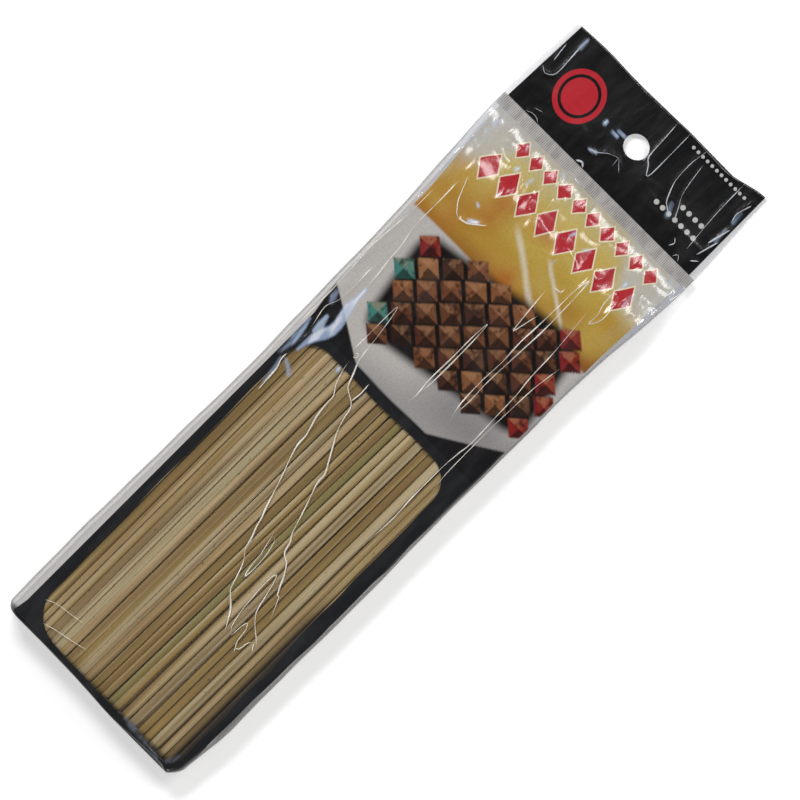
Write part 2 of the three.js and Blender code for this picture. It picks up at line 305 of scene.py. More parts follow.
# How far a row's two end rods reach past their middles, together
END_RODS = 3.0
for node, seed in (("lower_middle_skewers", 11), ("upper_middle_skewers", 12)):
    low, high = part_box(node)
    template = rod_object("row_rod", np.random.default_rng(seed), INNER_ROD_WIDTH, 0.0, 0.0, 0.0, 0.0)
    modifier = template.modifiers.new("row", "NODES")
    modifier.node_group = row_tree
    pitch = ((high[0] - low[0]) / MM - END_RODS) / (RODS - 1) * INNER_ROW_SHARE
    half_row = (RODS - 1) / 2 * pitch * MM
    first = ((low[0] + high[0]) / 2 - half_row, low[1] + 0.5 * MM, (low[2] + high[2]) / 2)
    for label, value in (("Rods", RODS), ("Pitch", pitch * MM), ("First", first),
                         ("Slide", INNER_SLIDE * MM), ("Seed", seed)):
        modifier[row_inputs[label].identifier] = value
    graph = bpy.context.evaluated_depsgraph_get()
    row_mesh = bpy.data.meshes.new_from_object(template.evaluated_get(graph))
    row_mesh.name = node.replace("skewers", "rods")
    bpy.data.objects.remove(template)
    row = bpy.data.objects.new(row_mesh.name, row_mesh)
    bpy.context.scene.collection.objects.link(row)
    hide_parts(node)
    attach(row, "root")

# Film bag: one blown tube of clear polypropylene film, folded over at the foot, heat
# sealed under a flat header and printed on its face. It is drawn tight over the rods,
# so it keeps long fine creases, and it crumples where it runs from the rods to the seal.
FOOT = cad_bounds[0][1] / MM
BAG_HALF_WIDTH = 40.355
BAG_HEIGHT = 12.847
END_RADIUS = 0.6
CORNER_RADIUS = 4.0
# The film falls by 1.8 mm over the rods' points, flares where it is pressed flat, is pinched
# at the left and drawn in at the right corner of the foot
FALL_OVER_TIPS = 1.8
SEAL_FLARE = 3.1
HEADER_FLARE = 2.0
LEFT_PINCH = 1.2
FOOT_DRAWN_IN = 2.0
# Stations along the bag, from its foot
TIPS_START = 188.15
TIPS_END = 206.15
FLARE_START = TIPS_START - 18
SEAL_START = 228.75
SEAL_END = 232.75
TOP_EDGE = 265.75
SEAL_HEIGHT = 3.4
SEAL_THICKNESS = 1.0
HEADER_THICKNESS = 0.6
HEADER_REST = 0.7


def clip_share(y, start, end):
    """How far y has come from start to end, from 0 to 1."""
    return np.clip((y - start) / (end - start), 0, 1)


def ease(t):
    """0 below 0, 1 above 1 and a smooth step between."""
    t = np.clip(t, 0, 1)
    return t * t * (3 - 2 * t)


def round_inset(distance, radius):
    """How far a rounded edge stands in, at a distance from its end."""
    t = np.clip(1 - distance / radius, 0, 1)
    return radius * (1 - np.sqrt(1 - t * t))


def bag_height(y):
    """Height of the bag from its back to its face, at a station."""
    over_tips = BAG_HEIGHT - FALL_OVER_TIPS * clip_share(y, TIPS_START, TIPS_END)
    fall = clip_share(y, TIPS_END, SEAL_START)
    share = (fall + ease(fall)) / 2
    body = over_tips * (1 - share) + SEAL_THICKNESS * share - 2 * round_inset(y, END_RADIUS)
    return np.where(y >= SEAL_END, HEADER_THICKNESS, body)


def bag_half_width(y, side):
    """Reach of the bag from its middle line, to the left where side is -1 and else to the right."""
    to_seal = ease(clip_share(y, FLARE_START, SEAL_START))
    to_header = ease(clip_share(y, SEAL_END, TOP_EDGE))
    flare = to_seal * (SEAL_FLARE + (HEADER_FLARE - SEAL_FLARE) * to_header)
    pinch = LEFT_PINCH * np.exp(-(((y - 108) / 24) ** 2)) if side < 0 else 0.0
    waver = 0.2 * np.sin(y / 12.0 + side) + 0.06 * np.sin(y / 3.7 + 2.0 * side)
    waver = waver * ease(y / 12) * (1 - 0.6 * clip_share(y, SEAL_START, SEAL_END))
    drawn_in = FOOT_DRAWN_IN * (1 - ease(y / 26)) if side > 0 else 0.0
    return BAG_HALF_WIDTH + flare - pinch - drawn_in - round_inset(y, CORNER_RADIUS) + waver


def bag_middle(y):
    """Level of the bag's middle: its header droops to the table."""
    to_seal = ease(clip_share(y, TIPS_END, SEAL_START))
    at_seal = BAG_HEIGHT / 2 * (1 - to_seal) + SEAL_HEIGHT * to_seal
    droop = ease(clip_share(y, SEAL_END, TOP_EDGE))
    return at_seal * (1 - droop) + (HEADER_REST + HEADER_THICKNESS / 2) * droop


def lattice_noise(x, y, seed):
    """Smooth noise from 0 to 1 on a seeded lattice one unit apart."""
    table = np.random.default_rng(seed).random((257, 257))
    xi, yi = np.floor(x).astype(int), np.floor(y).astype(int)
    u, v = ease(x - xi), ease(y - yi)
    a, b = table[xi % 256, yi % 256], table[(xi + 1) % 256, yi % 256]
    c, d = table[xi % 256, (yi + 1) % 256], table[(xi + 1) % 256, (yi + 1) % 256]
    return (a * (1 - u) + b * u) * (1 - v) + (c * (1 - u) + d * u) * v


def ridge_noise(x, y, seed):
    """Sharp ridges with flat ground between, as in crumpled film."""
    first = 1 - np.abs(2 * lattice_noise(x, y, seed) - 1)
    second = 1 - np.abs(2 * lattice_noise(2.1 * x + 5, 2.1 * y + 9, seed + 1) - 1)
    return 0.65 * first ** 4 + 0.35 * second ** 3


# Creases of the face: points along each fold, the height and half width of the film's rise
# to it, and the breadth of its pale strip of whitening and painted highlight, in millimetres from the middle
# of the pack
CREASES = [
    # Over the window: two long folds, then short curls by the foot
    ([(-17.3, 1.1), (-16.8, -1.3), (-15.8, -5), (-14.7, -7.7), (-12.9, -10.4), (-12.7, -13.7), (-12.1,
      -18.8), (-10.2, -25.5), (-9.9, -30), (-8.6, -34.5), (-6.1, -41.2), (-2.9, -51.2), (-1.6, -54.5),
      (-0.7, -57.8), (0.8, -61.8), (1.6, -65.1), (2.8, -66.9), (4.2, -68.7), (5.4, -71.4), (6.3, -74.2),
      (7.6, -78.1), (9.3, -79.9), (12.3, -82.9), (14.4, -86.3), (16.4, -89.9)], 0.4, 0.5, 0.42),
    ([(-15.1, 3.8), (-13.5, -0.4), (-11.7, -5), (-9.9, -6.4), (-7.6, -7.7), (-6.1, -9.5), (-5.3, -13.4),
      (-3.8, -17.9), (-1.1, -22.8), (1.6, -27.6), (3.1, -30.5), (3.4, -34.4), (6.2, -42.5), (9, -51.2),
      (10.6, -53.8), (11.6, -57.3), (12.9, -58.6), (14.6, -59.5), (16.9, -63), (18.7, -66.9), (19.9, -69),
      (20.6, -69), (21.7, -71.4), (23.7, -76)], 0.4, 0.5, 0.42),
    ([(-7.4, 0.2), (-7.1, -3.7), (-7.6, -7.7)], 0.3, 0.5, 0.3),
    ([(4.5, -55.4), (5.2, -56.8), (5.5, -58.5), (6.6, -63), (6.9, -66.9), (7.5, -70.5), (8.1, -72.1), (8.4,
      -70), (8.4, -65.7), (7.8, -60.6), (6.7, -56.9), (5.4, -56.2)], 0.25, 0.45, 0.24),
    ([(18.5, -88.7), (16.5, -86.6), (15.3, -81.7), (14.7, -76), (14.3, -70.5), (14.4, -66), (15.1, -64.5),
      (16.2, -67.2), (17.4, -72.1), (18.4, -76.3), (19.4, -78.6), (22, -81.4), (25.3, -84.1), (27.3,
      -86.3)], 0.25, 0.45, 0.26),
    ([(18.5, -88.7), (18.7, -84.5), (19.3, -82.2), (20.5, -84.1), (21.1, -88.4), (22.1, -90.5), (23.3,
      -90.2), (24, -86.8), (24.7, -85.6)], 0.25, 0.45, 0.26),
    ([(22.1, -90.5), (22.9, -92)], 0.2, 0.4, 0.24),
    ([(25.6, -85.4), (26.1, -86.6), (27, -87.9)], 0.2, 0.4, 0.26),
    # Over the picture: upright folds drawn tight by the rods
    ([(-18.9, 4.5), (-18.8, 9.2), (-18.8, 21.1), (-18.4, 24.6), (-17.4, 20.5), (-16.2, 12.2), (-15.3, 4.5),
      (-13.5, -1.5)], 0.3, 0.5, 0.32),
    ([(-17.3, 3.3), (-16.8, 2.9), (-16.2, 3.8), (-16.7, 4.8), (-17.4, 4.3)], 0.3, 0.5, 0.3),
    ([(5.4, 5.1), (6, 8.6), (5.4, 15.2), (5.6, 24.1), (5.6, 35.9), (6.1, 41.3), (6.6, 35.9), (6.8, 24.1),
      (6.7, 15.2), (6.3, 10.3)], 0.35, 0.5, 0.4),
    ([(19.7, 9.8), (18.9, 12.2), (18, 17.5), (17.7, 27), (18.1, 35.9), (17.7, 44.8), (18, 50.8), (18.3,
      60.9), (18.5, 69.2), (19.5, 74.3), (20, 69.2), (20.3, 59.7), (20.3, 50.8), (19.6, 35.9), (19.3, 27),
      (19.6, 19.9), (19.2, 12.8)], 0.35, 0.5, 0.38),
    ([(26, 67.7), (26.9, 59.7), (27.8, 49.3), (28.1, 38.9), (28.9, 31.2), (29.2, 21.1), (29.6, 10.4), (28.9,
      4.5), (28.4, -2.4), (28.4, -15.6), (28.8, -25.3), (28.2, -38.3)], 0.35, 0.5, 0.32),
    ([(32.8, 47.2), (31.9, 41.3), (31.3, 35.9), (30.8, 23.2), (30.6, 15.2), (30.7, -0.9), (31.4, -9.1)],
      0.25, 0.5, 0.24),
    ([(28.4, 82.3), (27.8, 78.1), (28.1, 72.2), (29.2, 68.6), (29.2, 64.2), (31.3, 68), (31, 74)], 0.35,
      0.6, 0.34),
    ([(12.9, 64.8), (15.6, 65.1), (15.7, 66.8)], 0.4, 0.7, 0.5),
    ([(11.7, 62.1), (12.9, 49.3), (13.5, 45.4), (14.4, 49), (15.6, 54.4)], 0.3, 0.5, 0.3),
    ([(-32.2, 70.7), (-30.4, 66.2), (-28.9, 62.7), (-26.5, 59.7), (-25.1, 58.8)], 0.45, 0.8, 0.45),
    ([(-25.1, 58.8), (-21.7, 59.5), (-19.1, 61.4), (-16.4, 63.6)], 0.9, 1.4, 0.6),
    ([(-37.2, 62.1), (-37.2, 49.3), (-38.4, 33), (-37.8, 21.1), (-37.4, 12.8), (-37.4, -2.3), (-37.2,
      -18.8)], 0.4, 0.6, 0.3),
    ([(-33.4, 68), (-33.1, 58.9), (-33.1, 47.8), (-31.6, 38.9), (-31.3, 34.2), (-30.4, 27), (-30.1, 21.1)],
      0.4, 0.6, 0.32),
    ([(-33.4, 28.2), (-33.1, 17.5), (-33.7, 12.2), (-35.2, 8), (-33.7, 0.3)], 0.4, 0.6, 0.3),
    ([(-33.4, -11.3), (-33.3, -14), (-32.2, -17.3), (-31.8, -23.4), (-31.6, -26.4)], 0.4, 0.6, 0.5),
    # On the header: folds that run down from its upper edge, and crumples over the seal
    ([(3.7, 131.5), (4.2, 125.9), (4.7, 117), (6.7, 114.6), (8.5, 111.9), (9.3, 113.4), (9.3, 124.7), (9.2,
      132.4)], 0.4, 0.5, 0.36),
    ([(17.1, 132.1), (16.1, 125.9), (16.1, 121.1), (16.5, 117), (18, 112.8), (19.5, 110.1), (23.4, 107.5)],
      0.45, 0.6, 0.34),
    ([(19.2, 127.6), (20.1, 121.1), (21.3, 115.5), (23.4, 111.6), (25.4, 107.5)], 0.45, 0.6, 0.34),
    ([(33.1, 132.4), (33.4, 118.7), (34.6, 104.2)], 0.35, 0.5, 0.28),
    ([(-36.3, 130.6), (-36, 124.7), (-35.5, 116.4), (-36, 113.7), (-38.4, 112.2), (-40.7, 113.7)], 0.5, 0.7,
      0.36),
    ([(-40.1, 124.1), (-39.2, 117)], 0.3, 0.5, 0.24),
    ([(39.7, 129.1), (38.2, 124.1), (38.7, 121)], 0.5, 0.8, 0.5),
    ([(40.3, 118.7), (38.8, 112.8), (38.2, 110.4)], 0.5, 0.8, 0.5),
    ([(40.3, 112.8), (38.2, 105.1)], 0.5, 0.8, 0.4),
    ([(37.9, 102.1), (40.3, 104.2)], 0.4, 0.7, 0.4),
    ([(-11.4, 104.8), (-8.4, 105.7), (-5.1, 108.3), (-1.9, 109.5), (-0.4, 108.1), (1.7, 106)], 0.5, 0.9,
      0.45),
    ([(-1.9, 109.4), (-1.5, 106.2)], 0.3, 0.6, 0.4),
    ([(-32.7, 101.8), (-29.7, 102.7)], 0.4, 0.9, 0.5),
    ([(-34.2, 99.2), (-32, 100.1), (-30, 100), (-28.3, 99)], 0.4, 0.8, 0.4),
    ([(-11.4, 99.2), (-9.3, 100.2), (-7.8, 98.9)], 0.4, 0.9, 0.6),
    ([(29.3, 104.2), (30.5, 102.7), (29.6, 100.9)], 0.4, 0.7, 0.34),
    ([(32.9, 99.4), (34.1, 100.9), (35.5, 99.2)], 0.4, 0.7, 0.34),
    # By the foot: faint scuffs
    ([(-32.4, -123), (-29.1, -121.5), (-24.9, -120.8), (-18.5, -119.9)], 0.12, 0.4, 0.15),
    ([(-27.5, -128.9), (-22.7, -127.6), (-16.2, -126.3), (-11, -125)], 0.12, 0.4, 0.15),
]


def crease_field(x, y):
    """Height of the folds over the face; y is from the pack's middle."""
    field = np.zeros_like(x)
    for points, height, width, _ in CREASES:
        points = np.array(points, dtype=float)
        low, high = points.min(0) - 5, points.max(0) + 5
        near = (x > low[0]) & (x < high[0]) & (y > low[1]) & (y < high[1])
        if not near.any():
            continue
        px, py = x[near], y[near]
        best = np.full(px.shape, 1e9)
        along = np.zeros(px.shape)
        lengths = np.hypot(*np.diff(points, axis=0).T)
        total, gone = lengths.sum(), 0.0
        for (ax, ay), (bx, by), length in zip(points[:-1], points[1:], lengths):
            t = np.clip(((px - ax) * (bx - ax) + (py - ay) * (by - ay)) / length ** 2, 0, 1)
            distance = np.hypot(px - ax - t * (bx - ax), py - ay - t * (by - ay))
            closer = distance < best
            best = np.where(closer, distance, best)
            along = np.where(closer, (gone + t * length) / total, along)
            gone += length
        fade = ease(np.minimum(along, 1 - along) / 0.08)
        fold = height * np.exp(-((best / width) ** 1.4)) * fade
        part = field[near]
        field[near] = np.maximum(part, fold) + 0.3 * np.minimum(part, fold)
    return field


def face_relief(x, y):
    """All looseness of the printed face; y is from the pack's middle."""
    foot_y = y - FOOT
    shoulder = np.sin(math.pi * clip_share(foot_y, 196, SEAL_START + 2)) ** 0.8
    gather = 0.5 + 0.5 * np.sin(2 * math.pi * x / 13 + 0.05 * foot_y)
    relief = 0.5 * shoulder * gather
    relief += 0.62 * shoulder * ridge_noise(x / 9 + 3, y / 13 + 1, 21)
    relief += 0.08 * shoulder * ridge_noise(x / 4.1, y / 5.2, 25)
    left_edge = ease((-24 - x) / 12) * np.exp(-(((y - 5) / 30) ** 2))
    relief += 0.9 * left_edge * ridge_noise(x / 5 + 1, y / 16, 31)
    right_edge = ease((x - 31) / 6) * ease((30 - y) / 40)
    relief += 0.08 * right_edge * ridge_noise(x / 9, y / 30, 35)
    picture = ease((foot_y - 130) / 20) * (1 - shoulder) * (1 - clip_share(foot_y, SEAL_START, SEAL_END))
    relief += 0.12 * picture * ridge_noise(x / 6, y / 26, 41)
    relief += 0.05 * ridge_noise(x / 9, y / 40, 45)
    header = clip_share(foot_y, SEAL_END, SEAL_END + 6)
    below_edge = 1 - 0.9 * ease((foot_y - TOP_EDGE + 9) / 8)
    relief += 0.35 * header * ridge_noise(x / 17 + 2, y / 24, 51) * below_edge
    low_header = header * (1 - ease((foot_y - SEAL_END - 8) / 10))
    relief += 0.25 * low_header * ridge_noise(x / 12, y / 5, 55)
    in_seal = ease((foot_y - SEAL_START) / 0.5) * ease((SEAL_END - foot_y) / 0.5)
    relief = relief * (1 - in_seal)
    return relief + 0.5 * crease_field(x, y) * (1 - in_seal)


def bag_stations():
    """Places of the film's rings along the bag, from its foot, closer where it is creased."""
    foot = [0.0, 0.15, 0.4, 0.8, 1.2, 1.8, 2.6, 3.4]
    window_part = np.linspace(4.0, 130.0, 158)
    picture_part = np.linspace(130.45, SEAL_START - 0.4, 224)
    seal = np.linspace(SEAL_START, SEAL_END, 9)
    header = np.linspace(SEAL_END + 0.4, TOP_EDGE, 58)
    return np.concatenate([foot, window_part, picture_part, seal, header])


FACE_STEPS = 150
BACK_STEPS = 26
# Steps round each side, closer together where the print turns over the upper edge
SIDE_TURNS = [-67.5, -45.0, -22.5, 0.0, 22.5, 34.0, 45.0, 55.0, 64.0, 72.0, 79.0, 84.5, 88.5]
SEAL_RIB_PITCH = 1.3
SEAL_RIB_HEIGHT = 0.12
RAISED_CORNER = 2.4
EAR_PLACE = 34.6
EAR_LENGTH = 1.3


def bag_rings():
    """The film before it is creased: points, how far up its side each is, and its station."""
    foot_y = bag_stations()[:, None]
    left, right = bag_half_width(foot_y, -1), bag_half_width(foot_y, 1)
    radius = bag_height(foot_y) / 2
    middle = bag_middle(foot_y)
    run = 0.72 * np.maximum(radius, HEADER_THICKNESS)
    angle = np.radians(SIDE_TURNS)[None, :]
    across = np.cos(angle) ** 0.5
    up = np.sign(np.sin(angle)) * np.abs(np.sin(angle)) ** 0.5
    back_t = np.linspace(0, 1, BACK_STEPS + 1)[None, :]
    face_t = np.linspace(1, 0, FACE_STEPS + 1)[None, :]
    span = left + right - 2 * run
    x = np.concatenate([run - left + span * back_t, right - run + run * across,
                        run - left + span * face_t, run - left - run * across[:, ::-1]], axis=1)
    level = np.concatenate([np.full(back_t.shape, -1.0), up, np.full(face_t.shape, 1.0), up[:, ::-1]], axis=1)
    z = middle + radius * level
    y = foot_y + FOOT + 0 * x
    upper = np.clip(level, 0, 1)
    return x, y, z, upper + 0 * x, foot_y + 0 * x


x, y, z, upper, foot_y = bag_rings()
header = clip_share(foot_y, SEAL_START, TOP_EDGE)
both_plies = clip_share(foot_y, SEAL_START, SEAL_END)
relief = face_relief(x, y)
z = z + relief * np.maximum(upper, both_plies)
z = z + header * (0.35 * np.sin(2 * math.pi * x / 47 + 0.6))
# Ribs pressed across the seal band by the sealing jaws
in_band = ease((foot_y - SEAL_START) / 0.3) * ease((SEAL_END - foot_y) / 0.3)
ribs = 0.5 + 0.5 * np.cos(2 * math.pi * x / SEAL_RIB_PITCH)
z = z + in_band * SEAL_RIB_HEIGHT * ribs * np.where(upper > 0.5, 1.0, -1.0) * (np.abs(x) < 41)
# The header's upper right corner is drawn out, and its upper edge waves
raised = ease((x - BAG_HALF_WIDTH + 16) / 16)
y = y + RAISED_CORNER * header ** 2 * raised + 0.35 * header ** 2 * np.sin(x / 6.0)
# The fold of the foot bellies out a little and ends in a pinched ear at the right
ear = np.exp(-(((x - EAR_PLACE) / 2.0) ** 2)) * (1 - clip_share(foot_y, 0, 3))
foot_line = np.interp(x, [-31, -18, -10, 0, 5, 10, 14, 18, 26, 33],
                      [0.45, 0.4, 0.15, -0.4, -0.75, -0.95, -0.85, -0.6, -0.2, 0.0])
y = y - EAR_LENGTH * ear + foot_line * (1 - ease(foot_y / 5))
rings, count = x.shape
points = np.stack([x, y, z], axis=2).reshape(-1, 3) * MM
index = np.arange(rings * count).reshape(rings, count)
following = np.roll(index, -1, axis=1)
quads = np.stack([index[:-1], index[1:], following[1:], following[:-1]], axis=2).reshape(-1, 4)
faces = quads.tolist() + [index[0].tolist(), index[-1][::-1].tolist()]
film_mesh = bpy.data.meshes.new("film_bag_skin")
film_mesh.from_pydata(points.tolist(), [], faces)
film_mesh.polygons.foreach_set("use_smooth", [True] * (len(film_mesh.polygons) - 2) + [False, False])
face_side = np.clip(upper * 4, 0, 1)
keep_on(film_mesh, "face_side", face_side)

# Where each spot of the film lies on the print. The print slips a little where the film
# is crumpled, its side edges waver, and the window widens to the right towards the foot.
px, py = x.copy(), y.copy()
slip = 0.9 * (lattice_noise(x / 9, y / 13, 71) - 0.5) + 0.35 * (lattice_noise(x / 3, y / 5, 72) - 0.5)
px += slip * ease((TIPS_START - 40 - foot_y) / -40) * ease((SEAL_START - foot_y) / 6)
px += 0.5 * (lattice_noise(x / 30, y / 14, 73) - 0.5)
px += 2.2 * (lattice_noise(x / 60, y / 11, 75) - 0.5) * ease((x - 20) / 12) * ease((-40 - y) / 20)
py += 0.6 * (lattice_noise(x / 14, y / 30, 74) - 0.5) * ease((SEAL_START - 2 - foot_y) / 20)
px -= 1.5 * ease((x - 10) / 20) * ease((-64 - y) / 18)
px -= 0.7 * ease((-12 - x) / 20) * ease((-60 - y) / 60)
# Folding the foot drew the window's lower edge down towards the right
drawn_down = np.interp(x, [-30.3, -25.4, -20.7, -15, -8, 0, 11, 16, 22, 29, 32.6],
                       [-2.2, -1.5, -0.6, 0.0, 0.1, 0.4, 0.5, 1.3, 1.4, 2.1, 3.7])
py += drawn_down * ease((-100 - y) / 22)
keep_on(film_mesh, "print_place", np.stack([px, py, 0 * px], axis=2), "FLOAT_VECTOR", "vector")
# The print's side edges, from the foot to the header
print_left = np.interp(y, [-134, -127, 4, 14, 60, 96, 98.5, 131],
                       [-37.6, -36.4, -36.3, -37.9, -38.4, -41.5, -41.8, -40.5])
print_right = np.interp(y, [-134, -90, -60, 60, 96, 131], [38.2, 38.6, 39.3, 39.5, 41.2, 41.0])
print_right = print_right + 0.8 * (lattice_noise(0 * y, y / 9, 76) - 0.5) * ease((20 - y) / 30)
side_room = np.minimum(x - print_left, print_right - x)
keep_on(film_mesh, "side_room", side_room)

# Picture field of the print: grey cream by the seal, then yellow and amber over a pale
# panel that carries a lattice of studs in browns, with red and green ones at its ends


def lies_in_panel(centre, half_size, corner, turn, edge):
    """Share of ink from 0 to 1 over the print, for a rounded rectangle with a soft edge."""
    dx, dy = px - centre[0], py - centre[1]
    along = np.abs(dx * math.cos(turn) + dy * math.sin(turn)) - half_size[0] + corner
    over = np.abs(dy * math.cos(turn) - dx * math.sin(turn)) - half_size[1] + corner
    distance = np.hypot(np.maximum(along, 0), np.maximum(over, 0)) - corner
    return ease(0.5 - distance / (2 * edge))


def lies_in_oval(centre, half_size, turn, edge):
    """Share of ink from 0 to 1 over the print, for an oval with a soft edge."""
    dx, dy = px - centre[0], py - centre[1]
    along = (dx * math.cos(turn) + dy * math.sin(turn)) / half_size[0]
    over = (dy * math.cos(turn) - dx * math.sin(turn)) / half_size[1]
    return ease(0.5 - (np.hypot(along, over) - 1) * min(half_size) / (2 * edge))


def ink_over(base, share, hex_colour, strength=1.0):
    """The print with one more ink laid over it, where share is above 0."""
    share = (share * strength)[:, None]
    return base * (1 - share) + np.array(linear(hex_colour)[:3])[None, :] * share


px, py = px.ravel(), py.ravel()
field_height = [-5, 16, 34, 50, 60, 70, 80, 88, 96]
field_inks = ["#101013", "#121114", "#4A2E18", "#8C5A24", "#AA7F2C", "#B4943C", "#B49A50", "#B3A674",
              "#B2AC9E"]
field_inks = np.array([linear(ink)[:3] for ink in field_inks])
tilted = py - 0.12 * px + 4.0 * (lattice_noise(px / 14, py / 9, 61) - 0.5)
picture_ink = np.stack([np.interp(tilted, field_height, field_inks[:, k]) for k in range(3)], axis=1)
glow = lattice_noise(px / 11 + 4, py / 7, 62) * lies_in_panel((0, 72), (44, 16), 8, 0.0, 3.0)
picture_ink = ink_over(picture_ink, glow, "#C4AC56", 0.6)
amber = lattice_noise(px / 9 + 7, py / 11, 65) ** 2 * lies_in_panel((-20, 64), (24, 14), 8, 0.0, 6.0)
picture_ink = ink_over(picture_ink, amber, "#A65C22", 1.0)
far_corner = ease((np.abs(px + 2) - 22 - 0.5 * (86 - py)) / 7) * ease((py - 70) / 10)
picture_ink = ink_over(picture_ink, far_corner, "#B4B0A8", 0.9)
for offset, breadth in ((0.0, 2.2), (15.0, 1.5)):
    beam = ease(1 - np.abs(py - 62 + 0.7 * (px - 2 - offset)) / breadth)
    beam = beam * lies_in_panel((6 + offset, 62), (16, 9), 4, 0.0, 3.0)
    picture_ink = ink_over(picture_ink, beam, "#D8D2C0", 0.7)
# Pale panel with slanted lower corners, shaded towards its foot
corner_cut = ease((py - 0.62 * (np.abs(px - 1) - 19) - 3.5) / 0.7)
panel = lies_in_panel((1.0, 27.0), (46.0, 25.0), 8.0, 0.0, 0.5) * corner_cut
picture_ink = ink_over(picture_ink, panel, "#BAB5B1")
low_shade = ease((14 - py + 0.25 * px) / 12) * panel
picture_ink = ink_over(picture_ink, low_shade, "#858181", 0.6)
picture_ink = ink_over(picture_ink, panel * lies_in_oval((22, 16), (17, 8), 0.1, 6.0), "#6E6C70", 0.6)
# Lattice of pointed studs: each is a lozenge of four sides, lit from the upper left, with
# the half width and half height that follow
STUD = (4.9, 4.3)
stud_band = lies_in_panel((5.0, 35.0), (32.0, 19.0), 7.0, 0.16, 2.0)
picture_ink = ink_over(picture_ink, stud_band, "#0A0605")
grit = 0.6 * lattice_noise(px / 0.9, py / 0.9, 63) + 0.4 * lattice_noise(px / 2.6, py / 2.6, 64)
stud_order = np.random.default_rng(90)
STUD_BROWNS = ["#5E3824", "#7C4E30", "#40241A", "#8E6040", "#502A1C", "#2C1712", "#6C3F28"]
for row in range(9):
    for column in range(-5, 7):
        centre = (4.0 + 10.6 * (column + 0.5 * (row % 2)) + 0.5 * row, 13.5 + 5.4 * row)
        slant_x = abs((centre[0] - 5.0) + 0.16 * (centre[1] - 35.0))
        slant_y = abs((centre[1] - 35.0) - 0.16 * (centre[0] - 5.0))
        colour = STUD_BROWNS[stud_order.integers(len(STUD_BROWNS))]
        if slant_x > 33 or slant_y > 19.5:
            continue
        if slant_x > 27:
            colour = "#3E7C74" if centre[0] < 5 and row % 3 else "#7E1C1C"
        dx, dy = (px - centre[0]) / STUD[0], (py - centre[1]) / STUD[1]
        body = ease((1 - np.abs(dx) - np.abs(dy)) / 0.12 + 0.5)
        picture_ink = ink_over(picture_ink, body, colour)
        upper_left = body * (dy > 0) * (dx < 0)
        upper_right = body * (dy > 0) * (dx >= 0)
        lower_right = body * (dy <= 0) * (dx >= 0)
        picture_ink = ink_over(picture_ink, upper_left * ease(0.15 + grit), "#B98A62", 0.4)
        picture_ink = ink_over(picture_ink, upper_right * ease(grit - 0.1), "#A87448", 0.25)
        picture_ink = ink_over(picture_ink, lower_right, "#100705", 0.75)
        picture_ink = ink_over(picture_ink, body * ease(1.5 - grit * 3.2), "#190E0B", 0.75)
picture_ink = np.hstack([picture_ink, np.ones((len(picture_ink), 1))])
